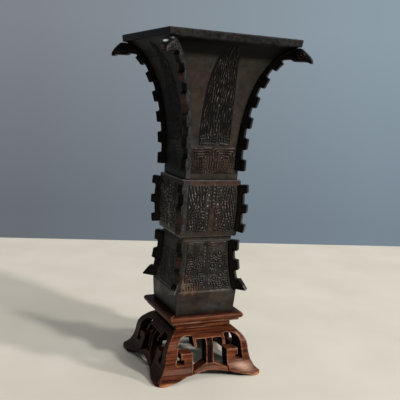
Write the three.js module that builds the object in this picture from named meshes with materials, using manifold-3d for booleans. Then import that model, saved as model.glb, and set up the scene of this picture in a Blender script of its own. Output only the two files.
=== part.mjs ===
// Square bronze beaker vase with notched corner flanges, on a pierced and carved rosewood stand.
// Millimetres, +Z up. The origin is on the table, at the middle of the stand's four feet.
// The front of the vase faces -Y.
import * as THREE from "three";
import { mergeVertices } from "three/addons/utils/BufferGeometryUtils.js";
import Module from "manifold-3d";

// Stand, from the table up
const APRON_HEIGHT = 33.2; // table to the top of the pierced side boards
const WAIST_HEIGHT = 7.0;
const RAIL_HEIGHT = 4.6;
const SEAT_DEPTH = 0.8; // how far the panel lies below the rails
const FEET_WIDTH = 82.0; // across the flared feet
const FOOT_EDGE_HEIGHT = 2.2; // upright edge of a foot at the table
const FOOT_TOE = 6.5; // thickness of a foot at the table
const FOOT_CORNER = 7.5; // rounding of a foot's corner, seen from above
const BULGE_WIDTH = 64.8; // across the side boards below their shoulder
const BULGE_HEIGHT = 20.0; // height at which they are that wide
const APRON_TOP_WIDTH = 45.4;
const APRON_THICKNESS = 9.0;
const WAIST_WIDTH = 43.6;
const WAIST_THICKNESS = 4.0;
const WAIST_FILLET_WIDTH = 53.0; // across the small square step under the rails
const WAIST_FILLET_HEIGHT = 1.3;
const WAIST_COVE_HEIGHT = 2.6;
const STAND_TOP_WIDTH = 57.6;
const PANEL_THICKNESS = 2.8;
const TONGUE_THICKNESS = 1.2; // tongue round the panel, held in the rails' grooves
const TONGUE_LENGTH = 2.0;
const KEY_THICKNESS = 1.4; // tongue on top of each side board, held in the waist strip
const KEY_HEIGHT = 1.5;

// Curves of a side board's cross-section, as shares of the stretch that they span
const SHOULDER_OUT = 0.4;
const SHOULDER_SLOPE = 0.2;
const SHOULDER_ROUND = 0.5;
const FLARE_START = 0.6;
const FLARE_OUT = 0.35;
const FLARE_END = 0.25;
const BULGE_LEAN = 0.7; // lean of the side at its bulge, over the pull of either curve

// Arch under a side board and piercing in it, measured from the piercing's own middle line
const ARCH_HALF = 34.0; // half span of the arch between the feet
const ARCH_RISE = 6.5;
const ARCH_PULL_OUT = 15.0; // control point of the curve on each side of the arch
const ARCH_PULL_UP = 5.2;
const FRET_SHIFT = 1.6; // how far the carver set the piercing right of the board's middle
const FRET_TOP = 29.7; // upper edge of the piercing
const FRET_HALF = 26.0; // half width of the piercing at its foot
const FRET_CORNER = 8.0; // rounding of its upper corner
const FRET_LEAN = 1.5; // how far its side leans in towards the top
const POST_WIDTH = 5.6;
const SILL_AT_POST = 11.5; // height of the piercing's lower edge beside the post
const SILL_AT_SCROLL = 6.9; // and beside the lower hook
const BRACKET_BAR = 2.1;
const BRACKET_REACH = 12.5; // post's middle to the end of the upper hook
const BRACKET_HOOK_WIDTH = 2.4;
const BRACKET_HOOK_FOOT = 22.8; // height of the upper hook's lower end
const SCROLL_INNER = 13.3; // post's middle to the near side of the lower hook
const SCROLL_STEM = 7.0;
const SCROLL_REACH = 9.1; // length of the lower hook's head
const SCROLL_TOP = 19.2;
const SCROLL_HEAD = 4.5; // height of its head
const SCROLL_FOOT = 11.4; // floor of the gap beside it

// Vase, from its seat up
const FOOT_BAND_HEIGHT = 16.2;
const FOOT_TIER_HEIGHT = 37.2;
const LOWER_BAND_HEIGHT = 2.9;
const BELLY_HEIGHT = 40.7;
const UPPER_BAND_HEIGHT = 6.2;
const NECK_HEIGHT = 87.5;
const LIP_HEIGHT = 5.0;

// Vase, width across its flat sides
const FOOT_BASE_WIDTH = 45.4;
const FOOT_BAND_WIDTH = 47.4;
const FOOT_TIER_WIDTH = 46.6; // at the bottom of the concave tier
const FOOT_WAIST_WIDTH = 39.2; // at its top
const LOWER_BAND_WIDTH = 38.2;
const BELLY_BASE_WIDTH = 43.0;
const BELLY_TOP_WIDTH = 44.4;
const BELLY_SWELL = 1.1; // bulge of each side at mid height
const UPPER_BAND_WIDTH = 40.4;
const NECK_WIDTH = 40.6;
const NECK_TOP_WIDTH = 93.0;
const NECK_FLARE_POWER = 2.3; // 2 makes the flare a quarter ellipse, more makes it turn out later
const NECK_FLARE_OVERRUN = 1.5; // how far above the lip's underside the flare would turn level
const LIP_OVERHANG = 1.4; // of the lip's lower edge beyond the flare, on each side
const LIP_SPREAD = 0.6; // of its upper edge beyond the lower one
const LIP_FACE = 4.0; // width of the lip's flat top
const WALL = 2.6;

// Joints between the castings
const SPIGOT_LENGTH = 4.0;
const SPIGOT_WALL = 1.5;
const LEDGE_THICKNESS = 2.4; // turned-in ledges at the top and bottom of the belly
const FLOOR_THICKNESS = 2.0;

// Relief fields on the flat sides
const RELIEF = 0.5;
const FIELD_MARGIN = 0.7; // bare strip between a field and the flange beside it
const FIELD_EDGE = 1.6; // bare strip above and below a field
const COLLAR_FIELD_HEIGHT = 16.5; // field round the bottom of the neck
const LEAF_WIDTH = 24.0;
const LEAF_BULGE_WIDTH = 24.8; // pull of its curved sides
const LEAF_BULGE_DROP = 19.0; // below the lip
const LEAF_SHOULDER_WIDTH = 10.0;
const LEAF_SHOULDER_DROP = 3.6;
const LEAF_TIP_DROP = 0.9;
const SPINE_WIDTH = 1.6; // raised line down the middle of the belly and foot fields
const SPINE_RELIEF = 0.5;

// Corner flanges: depths are square to the corner they follow
const FLANGE_THICKNESS = 5.0;
const TOOTH_DEPTH = 5.2;
const NOTCH_DEPTH = 2.2;
const NECK_TEETH = 6;
const NECK_TOOTH_SHARE = 0.55; // a tooth's share of the length of tooth and notch
const NECK_FLANGE_LIFT = 0.3; // bare corner below the neck's flange
const BELLY_TEETH = 3;
const BELLY_TOOTH = 6.2;
const BELLY_FLANGE_LIFT = 3.5; // bare corner below the belly's flange
const BELLY_FLANGE_DROP = 3.1; // and above it
const FOOT_TEETH = 2;
const FOOT_TOOTH = 8.1;
const BEAK_ROOT = 8.3; // length of the corner that the beak takes up
const BEAK_REACH = 7.6; // beak's tip, out from the lip's corner
const BEAK_DROP = 11.0; // and down from the lip's underside
const BEAK_JAW_DROP = 9.7; // underside of the beak, down from the lip
const BEAK_TIP = 3.2; // length of its hooked point
const BEAK_THROAT = 5.8; // depth of the flange behind the beak
const BEAK_CROWN_DROP = 0.6;
const BEAK_BACK_OUT = 9.6; // pull of the beak's back near its tip
const BEAK_BACK_DROP = 7.5;
const BEAK_BROW_OUT = 4.4; // and under the lip
const BEAK_BROW_DROP = 4.6;
const HOOK_REACH = 8.9; // tip of the foot flange's hook, out from the corner
const HOOK_HEIGHT = 7.2;
const HOOK_LIFT = 0.9; // above the plain foot band
const HOOK_EDGE = 0.8; // upright edge at its tip

// Clearances and fineness
const JOINT_GAP = 0.3;
const SEAT_CLEARANCE = 0.5; // round the vase's foot in its recess
const FLARE_STEPS = 12;
const TIER_STEPS = 6;
const SWELL_STEPS = 4;
const CURVE_STEPS = 6;
const MERGE_DISTANCE = 1e-4;
const SIDES = 4;

// Heights
const railBase = APRON_HEIGHT + WAIST_HEIGHT;
const standTop = railBase + RAIL_HEIGHT;
const panelTop = standTop - SEAT_DEPTH;
const footBase = panelTop + JOINT_GAP;
const tierBase = footBase + FOOT_BAND_HEIGHT;
const lowerBandBase = tierBase + FOOT_TIER_HEIGHT;
const bellyBase = lowerBandBase + LOWER_BAND_HEIGHT;
const bellyTop = bellyBase + BELLY_HEIGHT;
const neckBase = bellyTop + UPPER_BAND_HEIGHT;
const lipBase = neckBase + NECK_HEIGHT;
const mouthTop = lipBase + LIP_HEIGHT;

// Half widths shared by pieces that fit together
const seatHalf = FOOT_BASE_WIDTH / 2 + SEAT_CLEARANCE;
const boreHalf = Math.min(NECK_WIDTH, UPPER_BAND_WIDTH) / 2 - WALL;
const upperSpigotHalf = boreHalf + SPIGOT_WALL;
const lowerSocketHalf = LOWER_BAND_WIDTH / 2 - WALL;
const lowerSpigotHalf = lowerSocketHalf - JOINT_GAP;
const lipHalf = NECK_TOP_WIDTH / 2 + LIP_OVERHANG;
const rimHalf = lipHalf + LIP_SPREAD;
const flangeShadow = (FLANGE_THICKNESS / 2) * Math.SQRT2; // strip of each side that a flange covers
const farOut = FEET_WIDTH + 2 * rimHalf; // longer than any piece

const wasm = await Module();
wasm.setup();

// The closed solid of a geometry, with its seams merged and collapsed faces dropped.
function solidOf(geometry) {
  const bare = new THREE.BufferGeometry();
  bare.setAttribute("position", geometry.getAttribute("position"));
  bare.setIndex(geometry.getIndex());
  const merged = mergeVertices(bare, MERGE_DISTANCE);
  const corners = merged.getIndex().array;
  const kept = [];
  for (let i = 0; i < corners.length; i += 3) {
    const face = [corners[i], corners[i + 1], corners[i + 2]];
    if (new Set(face).size === face.length) kept.push(...face);
  }
  const vertProperties = merged.getAttribute("position").array;
  const triVerts = new Uint32Array(kept);
  return new wasm.Manifold(new wasm.Mesh({ numProp: 3, vertProperties, triVerts }));
}

function geometryOf(body) {
  const { vertProperties, triVerts } = body.getMesh();
  const geometry = new THREE.BufferGeometry();
  geometry.setAttribute("position", new THREE.BufferAttribute(vertProperties, 3));
  geometry.setIndex(new THREE.BufferAttribute(triVerts, 1));
  geometry.computeVertexNormals();
  return geometry;
}

// A body of square section round the Z axis: its profile is a list of [half width, height].
function squareSection(profile) {
  const points = profile.map(([half, z]) => new THREE.Vector2(half * Math.SQRT2, z));
  return solidOf(new THREE.LatheGeometry(points, SIDES, Math.PI / SIDES).rotateX(Math.PI / 2));
}

function hollowSection(outer, inner) {
  return squareSection([...outer, ...inner, outer[0]]);
}

function fullSection(outer) {
  const [, low] = outer[0];
  const [, high] = outer[outer.length - 1];
  return squareSection([[0, low], ...outer, [0, high]]);
}

function extruded(shape, depth) {
  return new THREE.ExtrudeGeometry(shape, { depth, bevelEnabled: false, curveSegments: CURVE_STEPS });
}

// An upright outline (x along X, y up) carried from the middle out through the front side.
function throughFront(shape) {
  return solidOf(extruded(shape, farOut).rotateX(Math.PI / 2));
}

// A cross-section (x out through the front, y up) run along X, with mitred ends.
function mitredRun(shape) {
  const run = extruded(shape, farOut).translate(0, 0, -farOut / 2);
  run.rotateX(Math.PI / 2).rotateZ(-Math.PI / 2);
  const back = (JOINT_GAP / 2) * Math.SQRT2;
  const wedge = new THREE.Shape();
  wedge.moveTo(0, -back);
  wedge.lineTo(-farOut, -farOut - back);
  wedge.lineTo(farOut, -farOut - back);
  return solidOf(run).intersect(solidOf(extruded(wedge, farOut)));
}

// The same body turned to all four sides and joined.
function onAllSides(body) {
  let joined = body;
  for (let side = 1; side < SIDES; side += 1) {
    joined = joined.add(body.rotate([0, 0, side * (360 / SIDES)]));
  }
  return joined;
}

// Points [half width, height] of a side whose half width is a function of height.
function sidePoints(halfAt, low, high, steps) {
  return Array.from({ length: steps + 1 }, (_, i) => {
    const z = THREE.MathUtils.lerp(low, high, i / steps);
    return [halfAt(z), z];
  });
}

// Outlines of the vase's sides

function neckHalf(z) {
  const reach = NECK_HEIGHT + NECK_FLARE_OVERRUN;
  const turn = (rise) => 1 - (1 - (rise / reach) ** NECK_FLARE_POWER) ** (1 / NECK_FLARE_POWER);
  const spread = (NECK_TOP_WIDTH - NECK_WIDTH) / 2;
  return NECK_WIDTH / 2 + (spread * turn(Math.max(z - neckBase, 0))) / turn(NECK_HEIGHT);
}

function bellyHalf(z) {
  const up = (z - bellyBase) / BELLY_HEIGHT;
  return THREE.MathUtils.lerp(BELLY_BASE_WIDTH, BELLY_TOP_WIDTH, up) / 2 + BELLY_SWELL * 4 * up * (1 - up);
}

function tierHalf(z) {
  const down = (lowerBandBase - z) / FOOT_TIER_HEIGHT;
  return (FOOT_WAIST_WIDTH + (FOOT_TIER_WIDTH - FOOT_WAIST_WIDTH) * down ** 2) / 2;
}

// The flare turns ever faster towards the lip, so its steps get shorter there.
const neckSide = Array.from({ length: FLARE_STEPS + 1 }, (_, i) => {
  const z = neckBase + NECK_HEIGHT * Math.sin((Math.PI / 2) * (i / FLARE_STEPS));
  return [neckHalf(z), z];
});
const bellySide = sidePoints(bellyHalf, bellyBase, bellyTop, SWELL_STEPS);
const tierSide = sidePoints(tierHalf, tierBase, lowerBandBase, TIER_STEPS);

// Relief fields: an upright outline raised from a side by a set height

function fieldShape(halfAtBase, halfAtTop, low, high) {
  const shape = new THREE.Shape();
  shape.moveTo(-halfAtBase, low);
  shape.lineTo(halfAtBase, low);
  shape.lineTo(halfAtTop, high);
  shape.lineTo(-halfAtTop, high);
  return shape;
}

function leafShape(low) {
  const shoulder = lipBase - LEAF_SHOULDER_DROP;
  const bulge = lipBase - LEAF_BULGE_DROP;
  const shape = new THREE.Shape();
  shape.moveTo(-LEAF_WIDTH / 2, low);
  shape.lineTo(LEAF_WIDTH / 2, low);
  shape.quadraticCurveTo(LEAF_BULGE_WIDTH / 2, bulge, LEAF_SHOULDER_WIDTH / 2, shoulder);
  shape.lineTo(0, lipBase - LEAF_TIP_DROP);
  shape.lineTo(-LEAF_SHOULDER_WIDTH / 2, shoulder);
  shape.quadraticCurveTo(-LEAF_BULGE_WIDTH / 2, bulge, -LEAF_WIDTH / 2, low);
  return shape;
}

function raised(side, height, shape) {
  const swollen = fullSection(side.map(([half, z]) => [half + height, z]));
  return onAllSides(swollen.intersect(throughFront(shape)));
}

function clearHalf(half) {
  return half - flangeShadow - FIELD_MARGIN;
}

// The castings

function neckCasting() {
  const bandHalf = UPPER_BAND_WIDTH / 2;
  const outer = [[bandHalf, bellyTop + JOINT_GAP], [bandHalf, neckBase], ...neckSide];
  outer.push([lipHalf, lipBase], [rimHalf, mouthTop]);
  const flareInside = neckSide.map(([half, z]) => [half - WALL, z + WALL]).filter(([, z]) => z < mouthTop);
  const bore = [[boreHalf, bellyTop - SPIGOT_LENGTH], ...flareInside, [rimHalf - LIP_FACE, mouthTop]];
  const spigot = [[upperSpigotHalf, bellyTop - SPIGOT_LENGTH], [upperSpigotHalf, bellyTop + JOINT_GAP]];
  const collarTop = neckBase + COLLAR_FIELD_HEIGHT;
  const collarHalf = clearHalf(NECK_WIDTH / 2);
  const collar = fieldShape(collarHalf, collarHalf, neckBase + FIELD_EDGE / 2, collarTop);
  return hollowSection([...spigot, ...outer], bore.toReversed())
    .add(raised(neckSide, RELIEF, collar).add(raised(neckSide, RELIEF, leafShape(collarTop + FIELD_EDGE)))
      .subtract(fullSection(neckSide.map(([half, z]) => [half - WALL / 2, z]))));
}

function bellyCasting() {
  const bottom = bellyBase - SPIGOT_LENGTH;
  const outer = [[lowerSpigotHalf, bottom], [lowerSpigotHalf, bellyBase], ...bellySide];
  const ledgeTop = bellyTop - LEDGE_THICKNESS;
  const ledgeBottom = bellyBase + LEDGE_THICKNESS;
  const mouthHalf = upperSpigotHalf + JOINT_GAP;
  const throatHalf = lowerSpigotHalf - SPIGOT_WALL;
  const cavity = sidePoints((z) => bellyHalf(z) - WALL, ledgeTop, ledgeBottom, SWELL_STEPS);
  const throat = [[throatHalf, ledgeBottom], [throatHalf, bottom]];
  const inner = [[mouthHalf, bellyTop], [mouthHalf, ledgeTop], ...cavity, ...throat];
  const low = bellyBase + FIELD_EDGE;
  const high = bellyTop - FIELD_EDGE;
  const field = fieldShape(clearHalf(bellyHalf(low)), clearHalf(bellyHalf(high)), low, high);
  return withField(hollowSection(outer, inner), bellySide, field, low, high);
}

function footCasting() {
  const bandTop = bellyBase - JOINT_GAP;
  const outer = [[FOOT_BASE_WIDTH / 2, footBase], [FOOT_BAND_WIDTH / 2, tierBase], ...tierSide];
  outer.push([LOWER_BAND_WIDTH / 2, lowerBandBase], [LOWER_BAND_WIDTH / 2, bandTop]);
  const tierInside = tierSide.map(([half, z]) => [Math.max(half - WALL, lowerSocketHalf), z]).toReversed();
  const inner = [[lowerSocketHalf, bandTop], ...tierInside, [FOOT_BASE_WIDTH / 2 - WALL, footBase]];
  const low = tierBase + FIELD_EDGE;
  const high = lowerBandBase - FIELD_EDGE;
  const field = fieldShape(clearHalf(tierHalf(low)), clearHalf(tierHalf(high)), low, high);
  return withField(hollowSection(outer, inner), tierSide, field, low, high);
}

// A casting with a raised field and its middle line on each side.
function withField(casting, side, field, low, high) {
  const spine = fieldShape(SPINE_WIDTH / 2, SPINE_WIDTH / 2, low, high);
  const core = fullSection(side.map(([half, z]) => [half - WALL / 2, z]));
  const relief = raised(side, RELIEF, field).add(raised(side, RELIEF + SPINE_RELIEF, spine));
  return casting.add(relief.subtract(core));
}

function floorPlate() {
  const bottom = bellyBase + LEDGE_THICKNESS + JOINT_GAP;
  const half = Math.min(bellyHalf(bottom) - WALL, upperSpigotHalf + JOINT_GAP) - JOINT_GAP;
  return fullSection([[half, bottom], [half, bottom + FLOOR_THICKNESS]]);
}

// A corner of the vase, seen square to its diagonal: x is the distance from the axis, y the height.
class CornerEdge extends THREE.Curve {
  constructor(halfAt, low, high) {
    super();
    Object.assign(this, { halfAt, low, high });
  }

  getPoint(t) {
    const z = THREE.MathUtils.lerp(this.low, this.high, t);
    return new THREE.Vector2(this.halfAt(z) * Math.SQRT2, z);
  }

  // The point a length up the corner and a depth out from it.
  beside(length, depth) {
    const share = Math.min(length / this.getLength(), 1);
    const point = this.getPointAt(share);
    const along = this.getTangentAt(share);
    return new THREE.Vector2(point.x + along.y * depth, point.y - along.x * depth);
  }
}

// Outer line of teeth along a corner, from the given length up it.
function toothLine(edge, { start, teeth, tooth, notch }) {
  const line = [];
  for (let i = 0; i < teeth; i += 1) {
    const foot = start + i * (tooth + notch);
    const head = foot + tooth;
    line.push(edge.beside(foot, NOTCH_DEPTH), edge.beside(foot, TOOTH_DEPTH));
    line.push(edge.beside(foot + tooth / 2, TOOTH_DEPTH));
    line.push(edge.beside(head, TOOTH_DEPTH), edge.beside(head, NOTCH_DEPTH));
    if (i + 1 < teeth) line.push(edge.beside(head + notch / 2, NOTCH_DEPTH));
  }
  return line;
}

// The flange's inner line runs inside the corner, where the vase's own shape cuts it.
function rootLine(edge) {
  const length = edge.getLength();
  return Array.from({ length: FLARE_STEPS + 1 }, (_, i) => (
    edge.beside((length * (FLARE_STEPS - i)) / FLARE_STEPS, -FLANGE_THICKNESS)
  ));
}

// Room that a flange leaves for the side it sits on: wider by the joint's gap, and run on past both ends.
function room(side) {
  const wide = side.map(([half, z]) => [half + JOINT_GAP, z]);
  const [[lowHalf, low], [highHalf, high]] = [wide[0], wide[wide.length - 1]];
  return fullSection([[lowHalf, low - FLANGE_THICKNESS], ...wide, [highHalf, high + FLANGE_THICKNESS]]);
}

// A flange on the front left corner, cut to sit on the vase's corner with the joint's gap.
function flange(shape, vase) {
  const plate = extruded(shape, FLANGE_THICKNESS).translate(0, 0, -FLANGE_THICKNESS / 2);
  return solidOf(plate.rotateX(Math.PI / 2).rotateZ((-3 * Math.PI) / 4)).subtract(vase);
}

function neckFlange() {
  const edge = new CornerEdge(neckHalf, neckBase + NECK_FLANGE_LIFT, lipBase);
  const pitch = (edge.getLength() - BEAK_ROOT) / NECK_TEETH;
  const tooth = pitch * NECK_TOOTH_SHARE;
  const teeth = { start: 0, teeth: NECK_TEETH, tooth, notch: pitch - tooth };
  const shape = new THREE.Shape(toothLine(edge, teeth));
  const corner = new THREE.Vector2(lipHalf * Math.SQRT2, lipBase);
  const throat = edge.beside(pitch * NECK_TEETH, BEAK_THROAT);
  const tip = new THREE.Vector2(corner.x + BEAK_REACH, corner.y - BEAK_DROP);
  const jaw = corner.y - BEAK_JAW_DROP;
  shape.lineTo(throat.x, throat.y);
  shape.lineTo(throat.x + (throat.y - jaw), jaw);
  shape.lineTo(tip.x - BEAK_TIP, jaw);
  shape.lineTo(tip.x, tip.y);
  const crown = corner.y - BEAK_CROWN_DROP;
  const back = new THREE.Vector2(corner.x + BEAK_BACK_OUT, corner.y - BEAK_BACK_DROP);
  const brow = new THREE.Vector2(corner.x + BEAK_BROW_OUT, corner.y - BEAK_BROW_DROP);
  shape.bezierCurveTo(back.x, back.y, brow.x, brow.y, corner.x, crown);
  rootLine(edge).forEach((point) => shape.lineTo(point.x, Math.min(point.y, crown)));
  const below = [[UPPER_BAND_WIDTH / 2 + JOINT_GAP, bellyTop]];
  const flare = neckSide.map(([half, z]) => [half + JOINT_GAP, z - JOINT_GAP]);
  const lip = [[lipHalf + JOINT_GAP, lipBase - JOINT_GAP], [rimHalf + JOINT_GAP, mouthTop]];
  return flange(shape, fullSection([...below, ...flare, ...lip]));
}

function bellyFlange() {
  const edge = new CornerEdge(bellyHalf, bellyBase + BELLY_FLANGE_LIFT, bellyTop - BELLY_FLANGE_DROP);
  const notch = (edge.getLength() - BELLY_TEETH * BELLY_TOOTH) / (BELLY_TEETH - 1);
  const teeth = { start: 0, teeth: BELLY_TEETH, tooth: BELLY_TOOTH, notch };
  const shape = new THREE.Shape([...toothLine(edge, teeth), ...rootLine(edge)]);
  return flange(shape, room(bellySide));
}

function footFlange() {
  const low = tierBase + HOOK_LIFT;
  const edge = new CornerEdge(tierHalf, low, lowerBandBase);
  const notch = (edge.getLength() - HOOK_HEIGHT - FOOT_TEETH * FOOT_TOOTH) / FOOT_TEETH;
  const start = HOOK_HEIGHT + notch;
  const teeth = { start, teeth: FOOT_TEETH, tooth: FOOT_TOOTH, notch };
  const tip = edge.beside(0, 0).x + HOOK_REACH;
  const crown = edge.beside(HOOK_HEIGHT, TOOTH_DEPTH);
  const heel = edge.beside(HOOK_HEIGHT, NOTCH_DEPTH);
  const shape = new THREE.Shape();
  shape.moveTo(edge.beside(0, 0).x, low);
  shape.lineTo(tip, low);
  shape.lineTo(tip, low + HOOK_EDGE);
  shape.lineTo(crown.x, crown.y);
  shape.lineTo(heel.x, heel.y);
  toothLine(edge, teeth).forEach((point) => shape.lineTo(point.x, point.y));
  rootLine(edge).forEach((point) => shape.lineTo(point.x, point.y));
  return flange(shape, room(tierSide));
}

// The stand

const tongueBase = panelTop - PANEL_THICKNESS / 2 - TONGUE_THICKNESS / 2;

function standPanel() {
  const half = seatHalf - JOINT_GAP;
  const reach = half + TONGUE_LENGTH;
  const tongueTop = tongueBase + TONGUE_THICKNESS;
  const bottom = panelTop - PANEL_THICKNESS;
  const edge = [[half, tongueBase], [reach, tongueBase], [reach, tongueTop], [half, tongueTop]];
  return fullSection([[half, bottom], ...edge, [half, panelTop]]);
}

function standRail() {
  const round = RAIL_HEIGHT / 2;
  const grooveBase = tongueBase - JOINT_GAP;
  const grooveTop = tongueBase + TONGUE_THICKNESS + JOINT_GAP;
  const grooveHalf = seatHalf + TONGUE_LENGTH;
  const shape = new THREE.Shape();
  shape.moveTo(seatHalf, railBase);
  shape.lineTo(STAND_TOP_WIDTH / 2 - round, railBase);
  shape.absarc(STAND_TOP_WIDTH / 2 - round, railBase + round, round, -Math.PI / 2, Math.PI / 2);
  shape.lineTo(seatHalf, standTop);
  shape.lineTo(seatHalf, grooveTop);
  shape.lineTo(grooveHalf, grooveTop);
  shape.lineTo(grooveHalf, grooveBase);
  shape.lineTo(seatHalf, grooveBase);
  return mitredRun(shape);
}

const keyMiddle = WAIST_WIDTH / 2 - WAIST_THICKNESS / 2;

function standWaist() {
  const bottom = APRON_HEIGHT + JOINT_GAP;
  const top = railBase - JOINT_GAP;
  const outer = WAIST_WIDTH / 2;
  const inner = outer - WAIST_THICKNESS;
  const fillet = WAIST_FILLET_WIDTH / 2;
  const filletBase = top - WAIST_FILLET_HEIGHT;
  const coveBase = filletBase - WAIST_COVE_HEIGHT;
  const slotHalf = KEY_THICKNESS / 2 + JOINT_GAP;
  const slotTop = APRON_HEIGHT + KEY_HEIGHT + JOINT_GAP;
  const shape = new THREE.Shape();
  shape.moveTo(keyMiddle + slotHalf, bottom);
  shape.lineTo(outer, bottom);
  shape.lineTo(outer, coveBase);
  shape.quadraticCurveTo(outer, filletBase, fillet, filletBase);
  shape.lineTo(fillet, top);
  shape.lineTo(inner, top);
  shape.lineTo(inner, bottom);
  shape.lineTo(keyMiddle - slotHalf, bottom);
  shape.lineTo(keyMiddle - slotHalf, slotTop);
  shape.lineTo(keyMiddle + slotHalf, slotTop);
  return mitredRun(shape);
}

// A side board's face in cross-section, from the top down: a rounded shoulder, then a flare into the foot.
function boardFace(inset, foot, footHeight) {
  const top = APRON_TOP_WIDTH / 2 - inset;
  const bulge = BULGE_WIDTH / 2 - inset;
  const drop = APRON_HEIGHT - BULGE_HEIGHT;
  const shoulder = new THREE.CubicBezierCurve(
    new THREE.Vector2(top, APRON_HEIGHT),
    new THREE.Vector2(top + (bulge - top) * SHOULDER_OUT, APRON_HEIGHT - drop * SHOULDER_SLOPE),
    new THREE.Vector2(bulge - BULGE_LEAN, BULGE_HEIGHT + drop * SHOULDER_ROUND),
    new THREE.Vector2(bulge, BULGE_HEIGHT),
  );
  const flare = new THREE.CubicBezierCurve(
    shoulder.v3,
    new THREE.Vector2(bulge + BULGE_LEAN, BULGE_HEIGHT * FLARE_START),
    new THREE.Vector2(bulge + (foot - bulge) * FLARE_OUT, BULGE_HEIGHT * FLARE_END),
    new THREE.Vector2(foot, footHeight),
  );
  return [...shoulder.getPoints(CURVE_STEPS), ...flare.getPoints(CURVE_STEPS).slice(1)];
}

function apronSection() {
  const foot = FEET_WIDTH / 2;
  const outside = boardFace(0, foot, FOOT_EDGE_HEIGHT);
  const inside = boardFace(APRON_THICKNESS, foot - FOOT_TOE, 0);
  return new THREE.Shape([...outside, new THREE.Vector2(foot, 0), ...inside.toReversed()]);
}

function apronOutline() {
  const far = FEET_WIDTH;
  const shape = new THREE.Shape();
  shape.moveTo(-far, 0);
  shape.lineTo(-ARCH_HALF, 0);
  shape.quadraticCurveTo(-ARCH_PULL_OUT, ARCH_PULL_UP, 0, ARCH_RISE);
  shape.quadraticCurveTo(ARCH_PULL_OUT, ARCH_PULL_UP, ARCH_HALF, 0);
  shape.lineTo(far, 0);
  shape.lineTo(far, APRON_HEIGHT + KEY_HEIGHT);
  shape.lineTo(-far, APRON_HEIGHT + KEY_HEIGHT);
  return shape;
}

// The room that the feet keep to, seen from above: a square with rounded corners.
function feetOutline() {
  const half = FEET_WIDTH / 2 + JOINT_GAP;
  const flat = half - FOOT_CORNER;
  const shape = new THREE.Shape();
  shape.moveTo(-flat, -half);
  shape.lineTo(flat, -half);
  shape.quadraticCurveTo(half, -half, half, -flat);
  shape.lineTo(half, flat);
  shape.quadraticCurveTo(half, half, flat, half);
  shape.lineTo(-flat, half);
  shape.quadraticCurveTo(-half, half, -half, flat);
  shape.lineTo(-half, -flat);
  shape.quadraticCurveTo(-half, -half, -flat, -half);
  return shape;
}

// The piercing on one side of the post: two square hooks reach into it, one from above, one from below.
function piercing() {
  const post = POST_WIDTH / 2;
  const barFoot = FRET_TOP - BRACKET_BAR;
  const hookInner = BRACKET_REACH - BRACKET_HOOK_WIDTH;
  const leanTop = FRET_HALF - FRET_LEAN;
  const headFoot = SCROLL_TOP - SCROLL_HEAD;
  const stemOuter = SCROLL_INNER + SCROLL_STEM;
  const headOuter = SCROLL_INNER + SCROLL_REACH;
  const shape = new THREE.Shape();
  shape.moveTo(post, SILL_AT_POST);
  shape.lineTo(SCROLL_INNER, SILL_AT_SCROLL);
  shape.lineTo(SCROLL_INNER, SCROLL_TOP);
  shape.lineTo(headOuter, SCROLL_TOP);
  shape.lineTo(headOuter, headFoot);
  shape.lineTo(stemOuter, headFoot);
  shape.lineTo(stemOuter, SCROLL_FOOT);
  shape.lineTo(FRET_HALF, SCROLL_FOOT);
  shape.lineTo(leanTop, FRET_TOP - FRET_CORNER);
  shape.quadraticCurveTo(leanTop, FRET_TOP, leanTop - FRET_CORNER, FRET_TOP);
  shape.lineTo(BRACKET_REACH, FRET_TOP);
  shape.lineTo(BRACKET_REACH, BRACKET_HOOK_FOOT);
  shape.lineTo(hookInner, BRACKET_HOOK_FOOT);
  shape.lineTo(hookInner, barFoot);
  shape.lineTo(post, barFoot);
  return shape;
}

function standApron() {
  const keyHalf = KEY_THICKNESS / 2;
  const key = new THREE.Shape();
  key.moveTo(keyMiddle - keyHalf, APRON_HEIGHT - KEY_HEIGHT);
  key.lineTo(keyMiddle + keyHalf, APRON_HEIGHT - KEY_HEIGHT);
  key.lineTo(keyMiddle + keyHalf, APRON_HEIGHT + KEY_HEIGHT);
  key.lineTo(keyMiddle - keyHalf, APRON_HEIGHT + KEY_HEIGHT);
  const board = mitredRun(apronSection()).add(mitredRun(key)).intersect(throughFront(apronOutline()));
  const right = throughFront(piercing());
  const pair = right.add(right.mirror([1, 0, 0])).translate([FRET_SHIFT, 0, 0]);
  return board.subtract(pair).intersect(solidOf(extruded(feetOutline(), farOut)));
}

// Materials

function bronze() {
  return new THREE.MeshStandardMaterial({ color: 0x2b241e, roughness: 0.5, metalness: 0.85 });
}

function rosewood() {
  return new THREE.MeshStandardMaterial({ color: 0x5a2a16, roughness: 0.38, metalness: 0 });
}

// Assembly

function piece(name, body, material, turn = 0) {
  const mesh = new THREE.Mesh(geometryOf(body), material);
  mesh.name = name;
  mesh.rotation.z = turn;
  return mesh;
}

// One copy of a piece for each side or corner, going round from the front.
function ring(stem, places, body, material) {
  const group = new THREE.Group();
  places.forEach((place, i) => {
    group.add(piece(`${stem}_${place}`, body, material(), (i * Math.PI * 2) / SIDES));
  });
  return group;
}

const CORNERS = ["front_left", "front_right", "back_right", "back_left"];
const FACES = ["front", "right", "back", "left"];

const vase = new THREE.Group();
vase.add(piece("neck_casting", neckCasting(), bronze()));
vase.add(piece("belly_casting", bellyCasting(), bronze()));
vase.add(piece("foot_casting", footCasting(), bronze()));
vase.add(piece("floor_plate", floorPlate(), bronze()));
vase.add(ring("neck_flange", CORNERS, neckFlange(), bronze));
vase.add(ring("belly_flange", CORNERS, bellyFlange(), bronze));
vase.add(ring("foot_flange", CORNERS, footFlange(), bronze));

const stand = new THREE.Group();
stand.add(piece("stand_panel", standPanel(), rosewood()));
stand.add(ring("stand_rail", FACES, standRail(), rosewood));
stand.add(ring("stand_waist", FACES, standWaist(), rosewood));
stand.add(ring("stand_apron", FACES, standApron(), rosewood));

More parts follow.
